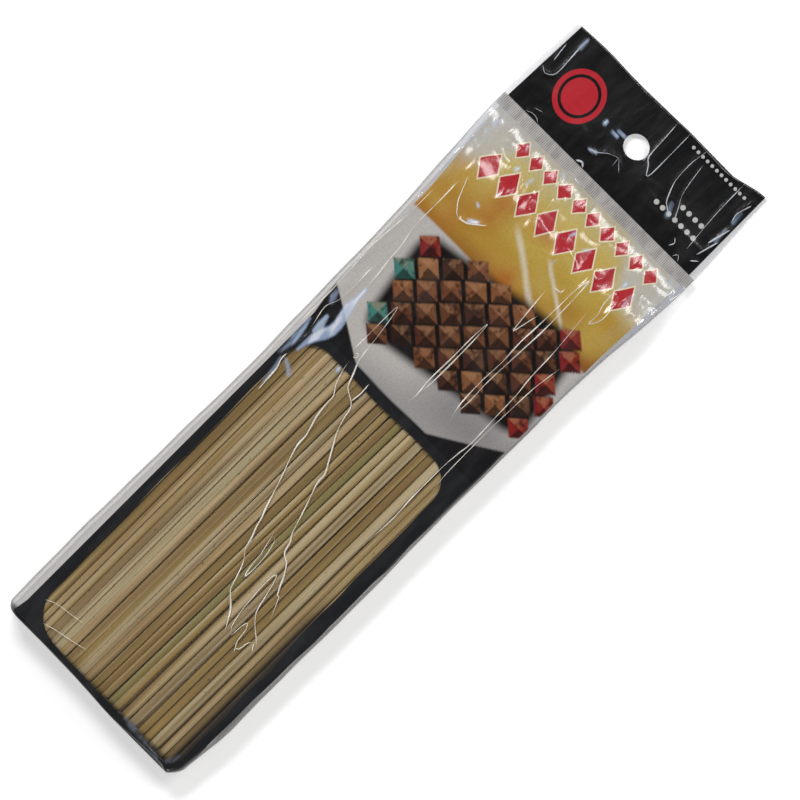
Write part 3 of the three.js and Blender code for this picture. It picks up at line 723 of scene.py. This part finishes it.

# Painted reflections, where crumpled film throws back the light: strokes of places with their half
# widths, in millimetres, and the strength of each
PAINTED_GLINTS = [
    # Crumples at the left, over the border's corner
    ([(-29.9, 21.3, 0.5), (-29.8, 16.8, 0.8), (-29.8, 13.5, 1.5), (-28.8, 9.6, 1.6), (-28.0, 6.4, 1.6),
      (-28.0, 3.8, 1.75), (-29.1, 1.2, 1.9), (-30.4, -1.7, 1.4), (-31.2, -4.9, 0.8),
      (-31.7, -8.5, 0.35)], 0.78),
    ([(-32.5, 6.1, 0.6), (-32.0, 3.2, 1.2), (-31.1, 0.3, 1.5)], 0.66),
    ([(-36.1, 14.5, 0.4), (-35.6, 12.2, 1.0), (-34.8, 10.3, 0.6)], 0.5),
    ([(-35.9, 1.9, 0.35), (-35.4, -1.4, 0.95), (-35.1, -4.6, 1.25), (-34.7, -7.2, 0.95), (-35.0, -9.8, 0.5),
      (-35.3, -12.7, 0.25)], 0.6),
    ([(-32.4, -13.0, 0.35), (-30.1, -14.3, 0.65), (-27.9, -15.9, 0.8)], 0.55),
    ([(-33.7, -14.0, 0.4), (-32.7, -18.8, 0.5), (-32.0, -23.7, 0.3)], 0.6),
    ([(-17.8, -3.0, 0.5), (-17.6, -3.8, 0.6)], 0.8),
    # Over the shoulder, where the film is drawn in to the seal
    ([(-22.7, 84.2, 0.5), (-22.9, 83.0, 0.6)], 0.85), ([(-16.8, 84.9, 0.35), (-16.9, 82.3, 0.4)], 0.8),
    ([(-38.4, 90.6, 0.5), (-38.0, 88.9, 0.6)], 0.7), ([(-38.9, 85.8, 0.5), (-38.5, 84.9, 0.5)], 0.6),
    ([(11.0, 80.0, 0.5), (12.3, 81.4, 0.6)], 0.6), ([(4.8, 80.3, 0.35), (5.6, 82.2, 0.45)], 0.7),
    ([(28.3, 82.1, 0.5), (28.2, 80.9, 0.4)], 0.8), ([(7.1, 71.8, 0.3), (7.1, 69.6, 0.45)], 0.6),
    ([(-24.1, 66.3, 0.4), (-23.1, 65.8, 0.5)], 0.85), ([(-11.0, 93.2, 0.5), (-9.6, 92.2, 0.5)], 0.5),
    ([(-25.4, 92.8, 0.4), (-25.0, 90.0, 0.5)], 0.4), ([(38.6, 93.4, 0.4), (38.8, 92.2, 0.5)], 0.6),
    ([(33.0, 80.4, 0.5), (33.2, 77.0, 0.6)], 0.5), ([(-21.8, 60.4, 0.7), (-19.2, 61.9, 0.7)], 0.85),
    # On the header
    ([(-35.9, 129.6, 0.4), (-35.8, 126.0, 0.5)], 0.7), ([(-12.9, 115.4, 0.5), (-12.9, 114.4, 0.6)], 1.0),
    ([(-8.0, 115.8, 0.3), (-5.2, 115.9, 0.35)], 1.0), ([(-9.2, 114.2, 0.3), (-7.0, 114.2, 0.45)], 1.0),
    ([(-10.6, 104.8, 0.3), (-8.4, 105.6, 0.5)], 0.9), ([(21.0, 111.2, 0.7), (22.6, 107.4, 0.9)], 0.22),
    ([(39.0, 125.0, 0.5), (39.4, 121.0, 0.7)], 0.4), ([(39.4, 117.6, 0.4), (39.8, 112.4, 0.5)], 0.35),
    # At the foot, where the fold stands off the rods' ends
    ([(13.0, -131.1, 0.5), (16.2, -131.1, 1.0), (19.5, -131.5, 0.7), (27.5, -131.7, 0.3)], 0.15),
    ([(30.2, -129.3, 0.4), (31.4, -127.2, 0.7), (32.3, -124.5, 0.3)], 0.2),
]
painted_glint = np.zeros(len(px))
streaks = 0.35 + 0.65 * ease(1.6 * lattice_noise(px / 1.1 + 0.16 * py, py / 6.0, 81) - 0.3)
for stroke, strength in PAINTED_GLINTS:
    for (ax, ay, a_wide), (bx, by, b_wide) in zip(stroke[:-1], stroke[1:]):
        t = np.clip(((px - ax) * (bx - ax) + (py - ay) * (by - ay)) / ((bx - ax) ** 2 + (by - ay) ** 2), 0, 1)
        beyond = np.hypot(px - ax - t * (bx - ax), py - ay - t * (by - ay)) - a_wide - t * (b_wide - a_wide)
        broken = streaks if strength < 0.7 else 0.6 + 0.4 * streaks
        painted_glint = np.maximum(painted_glint, strength * broken * ease(0.5 - beyond / 0.7))
# Faint painted reflection over the shoulder's corners
shoulder_corners = ease((np.abs(px) - 34) / 4) * ease((py - 60) / 10) * ease((97 - py) / 3)
painted_glint = np.maximum(painted_glint, 0.12 * shoulder_corners * streaks)
painted_glint *= np.clip(upper.ravel() * 2, 0, 1)
keep_on(film_mesh, "painted_glint", painted_glint)
# Painted shade: the margins, where the film is seen edge on, are greyed, most so at the right, and so
# is the strip by the foot where the rods end
film_shade = np.where(x > 0, 0.5 - 0.3 * ease((y - 10) / 60), 0.12) * ease(0.5 - side_room / 0.5)
film_shade = np.maximum(film_shade, 0.75 * ease((-130.8 - y) / 1.4)) * (1 - both_plies)
keep_on(film_mesh, "film_shade", film_shade)
# Painted shadow: the border's black runs on over the rods by the window's right side, where the border stands
# off them
border_shade = 0.8 * ease((x - 29.8) / 5.5) * ease((-52 - y) / 20) * np.clip(upper * 2, 0, 1)
keep_on(film_mesh, "border_shade", border_shade)
keep_on(film_mesh, "picture_ink", picture_ink, "FLOAT_COLOR", "color")
film = bpy.data.objects.new("printed_film_bag", film_mesh)
bpy.context.scene.collection.objects.link(film)

# Hang hole: a round hole, punched through both plies of the header when the bag is made,
# so that the pack can hang from a peg.
HOLE_PLACE = (-0.3, 116.2)
HOLE_SIZE = (8.9, 8.3)
HOLE_SIDES = 48
hole_mesh = bpy.data.meshes.new("hang_hole_punch")
turns = np.arange(HOLE_SIDES) * 2 * math.pi / HOLE_SIDES
hole_x = HOLE_PLACE[0] + HOLE_SIZE[0] / 2 * np.cos(turns)
hole_y = HOLE_PLACE[1] + HOLE_SIZE[1] / 2 * np.sin(turns)
hole_points = [(a * MM, b * MM, level * MM) for level in (-4, 9) for a, b in zip(hole_x, hole_y)]
hole_faces = [tuple(reversed(range(HOLE_SIDES))), tuple(range(HOLE_SIDES, 2 * HOLE_SIDES))]
for i in range(HOLE_SIDES):
    j = (i + 1) % HOLE_SIDES
    hole_faces.append((i, j, HOLE_SIDES + j, HOLE_SIDES + i))
hole_mesh.from_pydata(hole_points, [], hole_faces)
punch = bpy.data.objects.new("hang_hole_punch", hole_mesh)
bpy.context.scene.collection.objects.link(punch)
cut = film.modifiers.new("hang_hole", "BOOLEAN")
cut.operation = "DIFFERENCE"
cut.solver = "EXACT"
cut.object = punch
graph = bpy.context.evaluated_depsgraph_get()
cut_mesh = bpy.data.meshes.new_from_object(film.evaluated_get(graph))
film.modifiers.clear()
film.data = cut_mesh
bpy.data.objects.remove(punch)
# The cut leaves its own new points without their place on the print
edge_places = cut_mesh.attributes["print_place"].data
for vertex in cut_mesh.vertices:
    if Vector(edge_places[vertex.index].vector).length < 1e-6:
        edge_places[vertex.index].vector = (vertex.co.x / MM, vertex.co.y / MM, 0.0)
        cut_mesh.attributes["side_room"].data[vertex.index].value = 20.0
        cut_mesh.attributes["face_side"].data[vertex.index].value = 1.0

# Print: gravure inks on the inside of clear polypropylene film, so every colour lies
# under a glossy skin. A black header, a warm picture field with plain shapes, and a
# black border round a clear window. The film is left clear along both sides.
printed = new_material("printed_clear_polypropylene_film")
tree = printed.node_tree
place = add(tree, "ShaderNodeAttribute", attribute_name="print_place").outputs["Vector"]
split = add(tree, "ShaderNodeSeparateXYZ", {0: place}).outputs
on_face = add(tree, "ShaderNodeAttribute", attribute_name="face_side").outputs["Fac"]
PANEL_EDGE = 0.12
HEADER_INK_START = 98.7
SEAL_BAND_MIDDLE = 96.6
SEAL_BAND_HALF = 2.1


def within(distance, reach, edge):
    """1 where the distance is less than the reach, or more if the edge is negative; a soft edge."""
    mask = add(tree, "ShaderNodeMapRange", {"Value": distance, "From Min": reach + edge,
                                            "From Max": reach - edge}, interpolation_type="SMOOTHSTEP")
    return mask.outputs[0]


def panel_mask(centre, half_size, corner):
    """1 inside a rounded rectangle on the print, sizes in millimetres."""
    local = add(tree, "ShaderNodeMapping", {"Vector": place, "Location": (*centre, 0.0)},
                vector_type="TEXTURE")
    folded = add(tree, "ShaderNodeVectorMath", {0: local.outputs[0]}, operation="ABSOLUTE")
    inner = (half_size[0] - corner, half_size[1] - corner, 1.0)
    beyond = add(tree, "ShaderNodeVectorMath", {0: folded.outputs[0], 1: inner}, operation="SUBTRACT")
    outside = add(tree, "ShaderNodeVectorMath", {0: beyond.outputs[0], 1: (0.0, 0.0, 0.0)},
                  operation="MAXIMUM")
    distance = add(tree, "ShaderNodeVectorMath", {0: outside.outputs[0]}, operation="LENGTH")
    return within(distance.outputs["Value"], corner, PANEL_EDGE)


def oval_distance(centre, half_size):
    """Distance from the middle of an oval on the print, 1 on its outline."""
    local = add(tree, "ShaderNodeMapping", {"Vector": place, "Location": (*centre, 0.0),
                                            "Scale": (*half_size, 1.0)}, vector_type="TEXTURE")
    return add(tree, "ShaderNodeVectorMath", {0: local.outputs[0]}, operation="LENGTH").outputs["Value"]


def row_distance(first, pitch, count, half_size, round_shapes):
    """Distance from the nearest shape of a level row, 1 on its outline."""
    along = add(tree, "ShaderNodeMath", {0: split["X"], 1: first[0]}, operation="SUBTRACT").outputs[0]
    number = add(tree, "ShaderNodeMath", {0: along, 1: 1 / pitch, 2: 0.5}, operation="MULTIPLY_ADD")
    number = add(tree, "ShaderNodeMath", {0: number.outputs[0]}, operation="FLOOR").outputs[0]
    number = add(tree, "ShaderNodeClamp", {"Value": number, "Max": count - 1.0}).outputs[0]
    apart = add(tree, "ShaderNodeMath", {0: number, 1: -pitch, 2: along}, operation="MULTIPLY_ADD").outputs[0]
    over = add(tree, "ShaderNodeMath", {0: split["Y"], 1: first[1]}, operation="SUBTRACT").outputs[0]
    local = add(tree, "ShaderNodeCombineXYZ", {0: apart, 1: over}).outputs[0]
    local = add(tree, "ShaderNodeVectorMath", {0: local, 1: (*half_size, 1.0)}, operation="DIVIDE").outputs[0]
    if round_shapes:
        return add(tree, "ShaderNodeVectorMath", {0: local}, operation="LENGTH").outputs["Value"]
    local = add(tree, "ShaderNodeVectorMath", {0: local}, operation="ABSOLUTE").outputs[0]
    summed = add(tree, "ShaderNodeVectorMath", {0: local, 1: (1.0, 1.0, 0.0)}, operation="DOT_PRODUCT")
    return summed.outputs["Value"]


def printed_over(base, mask, colour):
    """One more ink over the others, where the mask is above 0."""
    return add(tree, "ShaderNodeMix", {0: mask, 6: base, 7: colour}, data_type="RGBA").outputs[2]


ink = add(tree, "ShaderNodeAttribute", attribute_name="picture_ink").outputs["Color"]
# Mottle of the picture's inks, in specks of about 0.7 mm
ink_mottle = add(tree, "ShaderNodeTexNoise", {"Vector": place, "Scale": 1.4, "Detail": 3.0})
mottle_amount = add(tree, "ShaderNodeMapRange", {"Value": ink_mottle.outputs["Fac"], "From Min": 0.42,
                                                 "From Max": 0.75, "To Max": 0.16})
ink = printed_over(ink, mottle_amount.outputs[0], linear("#2A1D18"))
# Two rows of red lozenges, each with a cream edge
small_row = row_distance((-26.0, 89.4), 6.5, 10, (2.6, 3.2), False)
ink = printed_over(ink, within(small_row, 1.22, 0.06), linear("#D8CCB0"))
ink = printed_over(ink, within(small_row, 1.0, 0.06), linear("#A81C26"))
large_row = row_distance((-29.8, 77.8), 8.7, 8, (3.6, 5.4), False)
ink = printed_over(ink, within(large_row, 1.16, 0.04), linear("#D8CCB0"))
ink = printed_over(ink, within(large_row, 1.0, 0.04), linear("#A81C26"))
# Black border round the window, and the black header with a red round and rows of dots
border = panel_mask((1.1, -66.8), (38.7, 67.9), 1.5)
ink = printed_over(ink, border, linear("#1A1B1E"))
header_zone = within(split["Y"], HEADER_INK_START, -0.2)
ink = printed_over(ink, header_zone, linear("#0A0A0B"))
red_round = oval_distance((-25.0, 114.8), (8.6, 9.4))
ink = printed_over(ink, within(red_round, 1.0, 0.012), linear("#B4222E"))
ink = printed_over(ink, within(red_round, 0.8, 0.012), linear("#0A0A0B"))
ink = printed_over(ink, within(red_round, 0.68, 0.012), linear("#B4222E"))
for first, pitch, dots, radius in (((13.0, 129.3), 2.1, 12, 0.6), ((24.5, 112.9), 2.8, 4, 0.9),
                                   ((17.0, 108.2), 2.8, 7, 0.9)):
    dot_row = row_distance(first, pitch, dots, (radius, radius), True)
    ink = printed_over(ink, within(dot_row, 1.0, 0.12), linear("#B9B9B7"))
# Faint painted sheen: a pale bloom in patches of about 6 by 20 mm, seen on the black inks
painted_sheen_place = add(tree, "ShaderNodeMapping", {"Vector": place, "Scale": (0.16, 0.05, 1.0)})
painted_sheen_noise = add(tree, "ShaderNodeTexNoise", {"Vector": painted_sheen_place.outputs[0], "Scale": 1.0, "Detail": 4.0})
painted_sheen_amount = add(tree, "ShaderNodeMapRange", {"Value": painted_sheen_noise.outputs["Fac"], "From Min": 0.48,
                                                 "From Max": 0.75, "To Max": 0.05})
ink = printed_over(ink, painted_sheen_amount.outputs[0], linear("#8E8D8F"))

# Where the film carries ink: not in the window, except for the border's painted shadow, nor in the side
# margins, the seal or the back
window = panel_mask((0.4, -66.9), (33.5, 64.9), 10.0)
not_window = add(tree, "ShaderNodeMath", {0: 1.0, 1: window}, operation="SUBTRACT").outputs[0]
# The border's painted shadow adds black ink in the window by its right side
shade = add(tree, "ShaderNodeAttribute", attribute_name="border_shade").outputs["Fac"]
not_window = add(tree, "ShaderNodeMath", {0: not_window, 1: shade}, operation="MAXIMUM").outputs[0]
side_room = add(tree, "ShaderNodeAttribute", attribute_name="side_room").outputs["Fac"]
side_mask = within(side_room, 0.0, -0.12)
seal_apart = add(tree, "ShaderNodeMath", {0: split["Y"], 1: SEAL_BAND_MIDDLE}, operation="SUBTRACT")
seal_apart = add(tree, "ShaderNodeMath", {0: seal_apart.outputs[0]}, operation="ABSOLUTE").outputs[0]
off_seal = within(seal_apart, SEAL_BAND_HALF, -0.15)
face_or_header = add(tree, "ShaderNodeMath", {0: on_face, 1: header_zone}, operation="MAXIMUM").outputs[0]
ink_mask = add(tree, "ShaderNodeMath", {0: not_window, 1: side_mask}, operation="MULTIPLY").outputs[0]
ink_mask = add(tree, "ShaderNodeMath", {0: ink_mask, 1: off_seal}, operation="MULTIPLY").outputs[0]
ink_mask = add(tree, "ShaderNodeMath", {0: ink_mask, 1: face_or_header}, operation="MULTIPLY").outputs[0]

# Fine handling wrinkles of about 3 mm, too small for the mesh
wrinkle_place = add(tree, "ShaderNodeMapping", {"Vector": place, "Scale": (0.35, 0.12, 1.0)})
wrinkle = add(tree, "ShaderNodeTexNoise", {"Vector": wrinkle_place.outputs[0], "Scale": 1.0, "Detail": 3.0})
wrinkle_bump = add(tree, "ShaderNodeBump", {"Height": wrinkle.outputs["Fac"], "Strength": 0.5,
                                            "Distance": 0.0004})
ink_shader = add(tree, "ShaderNodeBsdfPrincipled", {"Base Color": ink, "Roughness": 0.32, "IOR": 1.5,
                                                    "Specular IOR Level": 0.12, "Coat Weight": 1.0,
                                                    "Coat Roughness": 0.16,
                                                    "Normal": wrinkle_bump.outputs[0],
                                                    "Coat Normal": wrinkle_bump.outputs[0]})
# Clear film: see-through, greyer where it is seen at a slant, and milky in the seal,
# whose ribs are 0.65 mm apart and carry painted light and shade in stripes
slant = add(tree, "ShaderNodeLayerWeight", {"Blend": 0.5, "Normal": wrinkle_bump.outputs[0]})
slant = slant.outputs["Facing"]
slant_squared = add(tree, "ShaderNodeMath", {0: slant, 1: 2.0}, operation="POWER").outputs[0]
tint = add(tree, "ShaderNodeMix", {0: slant_squared, 6: linear("#FAFAFB"), 7: linear("#A09F9D")},
           data_type="RGBA").outputs[2]
# Painted shade greys what is seen through the film at the margins and by the foot
painted_film_shade = add(tree, "ShaderNodeAttribute", attribute_name="film_shade").outputs["Fac"]
tint = add(tree, "ShaderNodeMix", {0: painted_film_shade, 6: tint, 7: linear("#6E6D6C")}, data_type="RGBA").outputs[2]
through = add(tree, "ShaderNodeBsdfTransparent", {"Color": tint})
turn_per_mm = 4 * math.pi / SEAL_RIB_PITCH
rib_turn = add(tree, "ShaderNodeMath", {0: split["X"], 1: turn_per_mm}, operation="MULTIPLY").outputs[0]
rib_wave = add(tree, "ShaderNodeMath", {0: rib_turn}, operation="COSINE").outputs[0]
rib_wave = add(tree, "ShaderNodeMath", {0: wrinkle.outputs["Fac"], 1: 3.5, 2: rib_wave},
               operation="MULTIPLY_ADD").outputs[0]
rib_light = add(tree, "ShaderNodeMapRange", {"Value": rib_wave, "From Min": 0.4, "From Max": 3.2}).outputs[0]
# Painted light and shade of the seal's ribs: paler and darker stripes in its milky veil
veil_colour = add(tree, "ShaderNodeMix", {0: rib_light, 6: linear("#86827F"), 7: linear("#D2CECB")},
                  data_type="RGBA").outputs[2]
veil = add(tree, "ShaderNodeBsdfDiffuse", {"Color": veil_colour})
veil_amount = add(tree, "ShaderNodeMapRange", {"Value": slant_squared, "To Min": 0.015, "To Max": 0.5})
in_seal = add(tree, "ShaderNodeMath", {0: 1.0, 1: off_seal}, operation="SUBTRACT").outputs[0]
seal_veil = add(tree, "ShaderNodeMath", {0: in_seal, 1: 0.8, 2: veil_amount.outputs[0]},
                operation="MULTIPLY_ADD", use_clamp=True).outputs[0]
milky = add(tree, "ShaderNodeMixShader", {0: seal_veil, 1: through.outputs[0], 2: veil.outputs[0]})
# A skin of film reflects about 5 % of light head on and more at a slant
gloss = add(tree, "ShaderNodeBsdfGlossy", {"Roughness": 0.08, "Normal": wrinkle_bump.outputs[0]},
            distribution="GGX")
slant_fifth = add(tree, "ShaderNodeMath", {0: slant, 1: 5.0}, operation="POWER").outputs[0]
skin_shine = add(tree, "ShaderNodeMapRange", {"Value": slant_fifth, "To Min": 0.05, "To Max": 0.9}).outputs[0]
clear = add(tree, "ShaderNodeMixShader", {0: skin_shine, 1: milky.outputs[0], 2: gloss.outputs[0]})
film_surface = add(tree, "ShaderNodeMixShader", {0: ink_mask, 1: clear.outputs[0], 2: ink_shader.outputs[0]})
# Painted reflection of light thrown back by crumples, a cool white
painted_glint_share = add(tree, "ShaderNodeAttribute", attribute_name="painted_glint").outputs["Fac"]
painted_glint_bright = add(tree, "ShaderNodeMapRange", {"Value": painted_glint_share, "From Min": 0.6, "From Max": 0.85}).outputs[0]
painted_glint_colour = add(tree, "ShaderNodeMix", {0: painted_glint_bright, 6: linear("#B4C8E8"), 7: linear("#F6F8FC")},
                  data_type="RGBA").outputs[2]
painted_glint_shader = add(tree, "ShaderNodeBsdfPrincipled", {"Base Color": painted_glint_colour, "Roughness": 0.3})
surface = add(tree, "ShaderNodeMixShader", {0: painted_glint_share, 1: film_surface.outputs[0], 2: painted_glint_shader.outputs[0]})
add(tree, "ShaderNodeOutputMaterial", {"Surface": surface.outputs[0]})

film.data.materials.clear()
film.data.materials.append(printed)
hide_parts("film_bag")
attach(film, "root")

# Sharp folds: where the film is pinched to a fine standing ridge, its skin whitens and catches the light
# as a thin bright line; the strip's pale colour is that whitening and a painted highlight together. Each
# is a strip with a raised back that follows one crease over the film, creamy over the pale print and the
# rods, grey on the header.
FOLD_STEP = 0.6
FOLD_ENDS = 0.06
THINNEST_FOLD = 0.05
fold_highlight = new_material("highlit_whitened_fold_of_polypropylene_film")
tree = fold_highlight.node_tree
fold_place = add(tree, "ShaderNodeTexCoord").outputs["Object"]
# The whitening and painted highlight come and go in patches of about 8 mm
fold_noise = add(tree, "ShaderNodeTexNoise", {"Vector": fold_place, "Scale": 130.0, "Detail": 2.0})
fold_alpha = add(tree, "ShaderNodeMapRange", {"Value": fold_noise.outputs["Fac"], "From Min": 0.35,
                                              "From Max": 0.6, "To Min": 0.5, "To Max": 1.0})
fold_height = add(tree, "ShaderNodeSeparateXYZ", {0: fold_place}).outputs["Y"]
past_seal = add(tree, "ShaderNodeMapRange", {"Value": fold_height, "From Min": 0.094, "From Max": 0.1})
fold_colour = add(tree, "ShaderNodeMix", {0: past_seal.outputs[0], 6: linear("#FFFAF0"),
                                          7: linear("#CDD1D8")}, data_type="RGBA").outputs[2]
fold_shader = add(tree, "ShaderNodeBsdfPrincipled", {"Base Color": fold_colour, "Roughness": 0.2, "IOR": 1.5,
                                                     "Alpha": fold_alpha.outputs[0]})
add(tree, "ShaderNodeOutputMaterial", {"Surface": fold_shader.outputs[0]})


def smooth_path(points, step):
    """A rounded path through the points, one place for each step of its length."""
    points = np.array(points, dtype=float)
    padded = np.vstack([2 * points[0] - points[1], points, 2 * points[-1] - points[-2]])
    path = []
    for a, b, c, d in zip(padded[:-3], padded[1:-2], padded[2:-1], padded[3:]):
        pieces = max(2, int(np.hypot(*(c - b)) / step))
        for t in np.arange(pieces) / pieces:
            path.append(b + 0.35 * t * (1 - t) * ((1 - t) * (c - a) + t * (b - d)) + t * (c - b))
    path.append(points[-1])
    return np.array(path)


skin_finder = BVHTree.FromPolygons([v.co for v in film.data.vertices],
                                   [tuple(p.vertices) for p in film.data.polygons])
fold_points, fold_faces = [], []
for number, (crease, _, _, edge_breadth) in enumerate(CREASES):
    path = smooth_path(crease, FOLD_STEP)
    heading = np.gradient(path, axis=0)
    heading /= np.hypot(heading[:, 0], heading[:, 1])[:, None]
    share = np.linspace(0, 1, len(path))
    uneven = 0.3 * np.sin(path[:, 1] / 5.0 + number) + 0.25 * np.sin(path[:, 1] / 1.7 + 2 * number)
    to_end = np.minimum(1, np.minimum(share, 1 - share) / FOLD_ENDS)
    breadth = np.maximum(edge_breadth * (1 + uneven) * to_end, THINNEST_FOLD)
    start = len(fold_points)
    for (px, py), (hx, hy), wide in zip(path, heading, breadth):
        hit = skin_finder.ray_cast(Vector((px * MM, py * MM, 0.05)), Vector((0, 0, -1)))[0]
        level = hit.z / MM if hit else HEADER_REST
        for offset, rise in ((-0.5, -0.06), (-0.2, 0.4 * wide), (0.2, 0.4 * wide), (0.5, -0.06)):
            beside_x, beside_y = px - hy * offset * wide, py + hx * offset * wide
            fold_points.append((beside_x * MM, beside_y * MM, (level + rise) * MM))
    for k in range(len(path) - 1):
        a = start + 4 * k
        fold_faces += [(a + i, a + (i + 1) % 4, a + 4 + (i + 1) % 4, a + 4 + i) for i in range(4)]
    fold_faces += [(start + 3, start + 2, start + 1, start),
                   tuple(start + 4 * (len(path) - 1) + i for i in range(4))]
fold_mesh = bpy.data.meshes.new("film_folds")
fold_mesh.from_pydata(fold_points, [], fold_faces)
fold_shape = bmesh.new()
fold_shape.from_mesh(fold_mesh)
bmesh.ops.recalc_face_normals(fold_shape, faces=fold_shape.faces)
fold_shape.to_mesh(fold_mesh)
fold_shape.free()
fold_mesh.materials.append(fold_highlight)
folds = bpy.data.objects.new("film_folds", fold_mesh)
bpy.context.scene.collection.objects.link(folds)
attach(folds, "root")

# Studio: a plain white table, three soft boxes at the pack's left, head and foot, and a weak
# dome. The table lies a hair under the bag, whose back would else share its plane.
TABLE = -0.2 * MM
floor_mesh = bpy.data.meshes.new("table_top")
table_corners = [(x, y, TABLE) for x, y in ((-3, -3), (3, -3), (3, 3), (-3, 3))]
floor_mesh.from_pydata(table_corners, [], [(0, 1, 2, 3)])
floor = bpy.data.objects.new("table_top", floor_mesh)
bpy.context.scene.collection.objects.link(floor)
white_table = new_material("matt_white_table")
tree = white_table.node_tree
table_diffuse = add(tree, "ShaderNodeBsdfDiffuse", {"Color": (0.9, 0.9, 0.9, 1.0)})
rays = add(tree, "ShaderNodeLightPath").outputs
seen = add(tree, "ShaderNodeMath", {0: rays["Is Camera Ray"], 1: rays["Is Glossy Ray"]}, operation="MAXIMUM")
seen_all = add(tree, "ShaderNodeMath", {0: seen.outputs[0], 1: rays["Is Transmission Ray"]},
               operation="MAXIMUM")
lift = add(tree, "ShaderNodeMath", {0: seen_all.outputs[0], 1: 0.38}, operation="MULTIPLY")
table_lift = add(tree, "ShaderNodeEmission", {"Color": (1.0, 1.0, 1.0, 1.0), "Strength": lift.outputs[0]})
table_surface = add(tree, "ShaderNodeAddShader", {0: table_diffuse.outputs[0], 1: table_lift.outputs[0]})
add(tree, "ShaderNodeOutputMaterial", {"Surface": table_surface.outputs[0]})
floor_mesh.materials.append(white_table)

world = bpy.data.worlds.new("dome")
bpy.context.scene.world = world
world.use_nodes = True
tree = world.node_tree
tree.nodes.clear()
dome_place = add(tree, "ShaderNodeTexCoord").outputs["Generated"]
dome_height = add(tree, "ShaderNodeSeparateXYZ", {0: dome_place}).outputs["Z"]
dome_light = add(tree, "ShaderNodeMapRange", {"Value": dome_height, "From Min": 0.0, "From Max": 0.7,
                                              "To Min": 1.4, "To Max": 0.12}, interpolation_type="SMOOTHSTEP")
dome = add(tree, "ShaderNodeBackground", {"Strength": dome_light.outputs[0]})
add(tree, "ShaderNodeOutputWorld", {"Surface": dome.outputs[0]})


def soft_box(name, direction, distance, size, radiance):
    """An oblong lamp in metres that faces the pack from one direction."""
    lamp = bpy.data.lights.new(name, "AREA")
    lamp.shape = "RECTANGLE"
    lamp.size, lamp.size_y = size
    lamp.energy = radiance * math.pi * size[0] * size[1]
    lamp_object = bpy.data.objects.new(name, lamp)
    bpy.context.scene.collection.objects.link(lamp_object)
    length = math.sqrt(sum(d * d for d in direction))
    lamp_object.location = [d / length * distance for d in direction]
    x_dir, y_dir, z_dir = (d / length for d in direction)
    lamp_object.rotation_euler = (math.acos(z_dir), 0.0, math.atan2(x_dir, -y_dir))


soft_box("soft_box_left", (-0.52, 0.3, 0.8), 1.6, (0.55, 0.32), 24.0)
soft_box("soft_box_foot", (0.38, -0.55, 0.75), 1.6, (0.4, 0.24), 12.0)
soft_box("soft_box_head", (0.1, 0.66, 0.75), 1.8, (0.6, 0.3), 13.0)

# Camera: straight over the pack on a long lens, turned so that the header points to the
# upper right of the frame. One pixel of the 800 pixel frame is 0.3237 mm on the face.
PIXEL = 0.0003237
FACE_HEIGHT = 0.012
CAMERA_HEIGHT = 2.5
camera_data = bpy.data.cameras.new("camera")
camera_data.sensor_width = 36.0
camera_data.lens = camera_data.sensor_width * (CAMERA_HEIGHT - FACE_HEIGHT) / (800 * PIXEL)
camera_data.clip_end = 20.0
camera = bpy.data.objects.new("camera", camera_data)
bpy.context.scene.collection.objects.link(camera)
camera.location = (0.00334, 0.00376, CAMERA_HEIGHT)
camera.rotation_euler = (0.0, 0.0, math.radians(44.92))
bpy.context.scene.camera = camera
bpy.context.scene.view_settings.view_transform = "Standard"
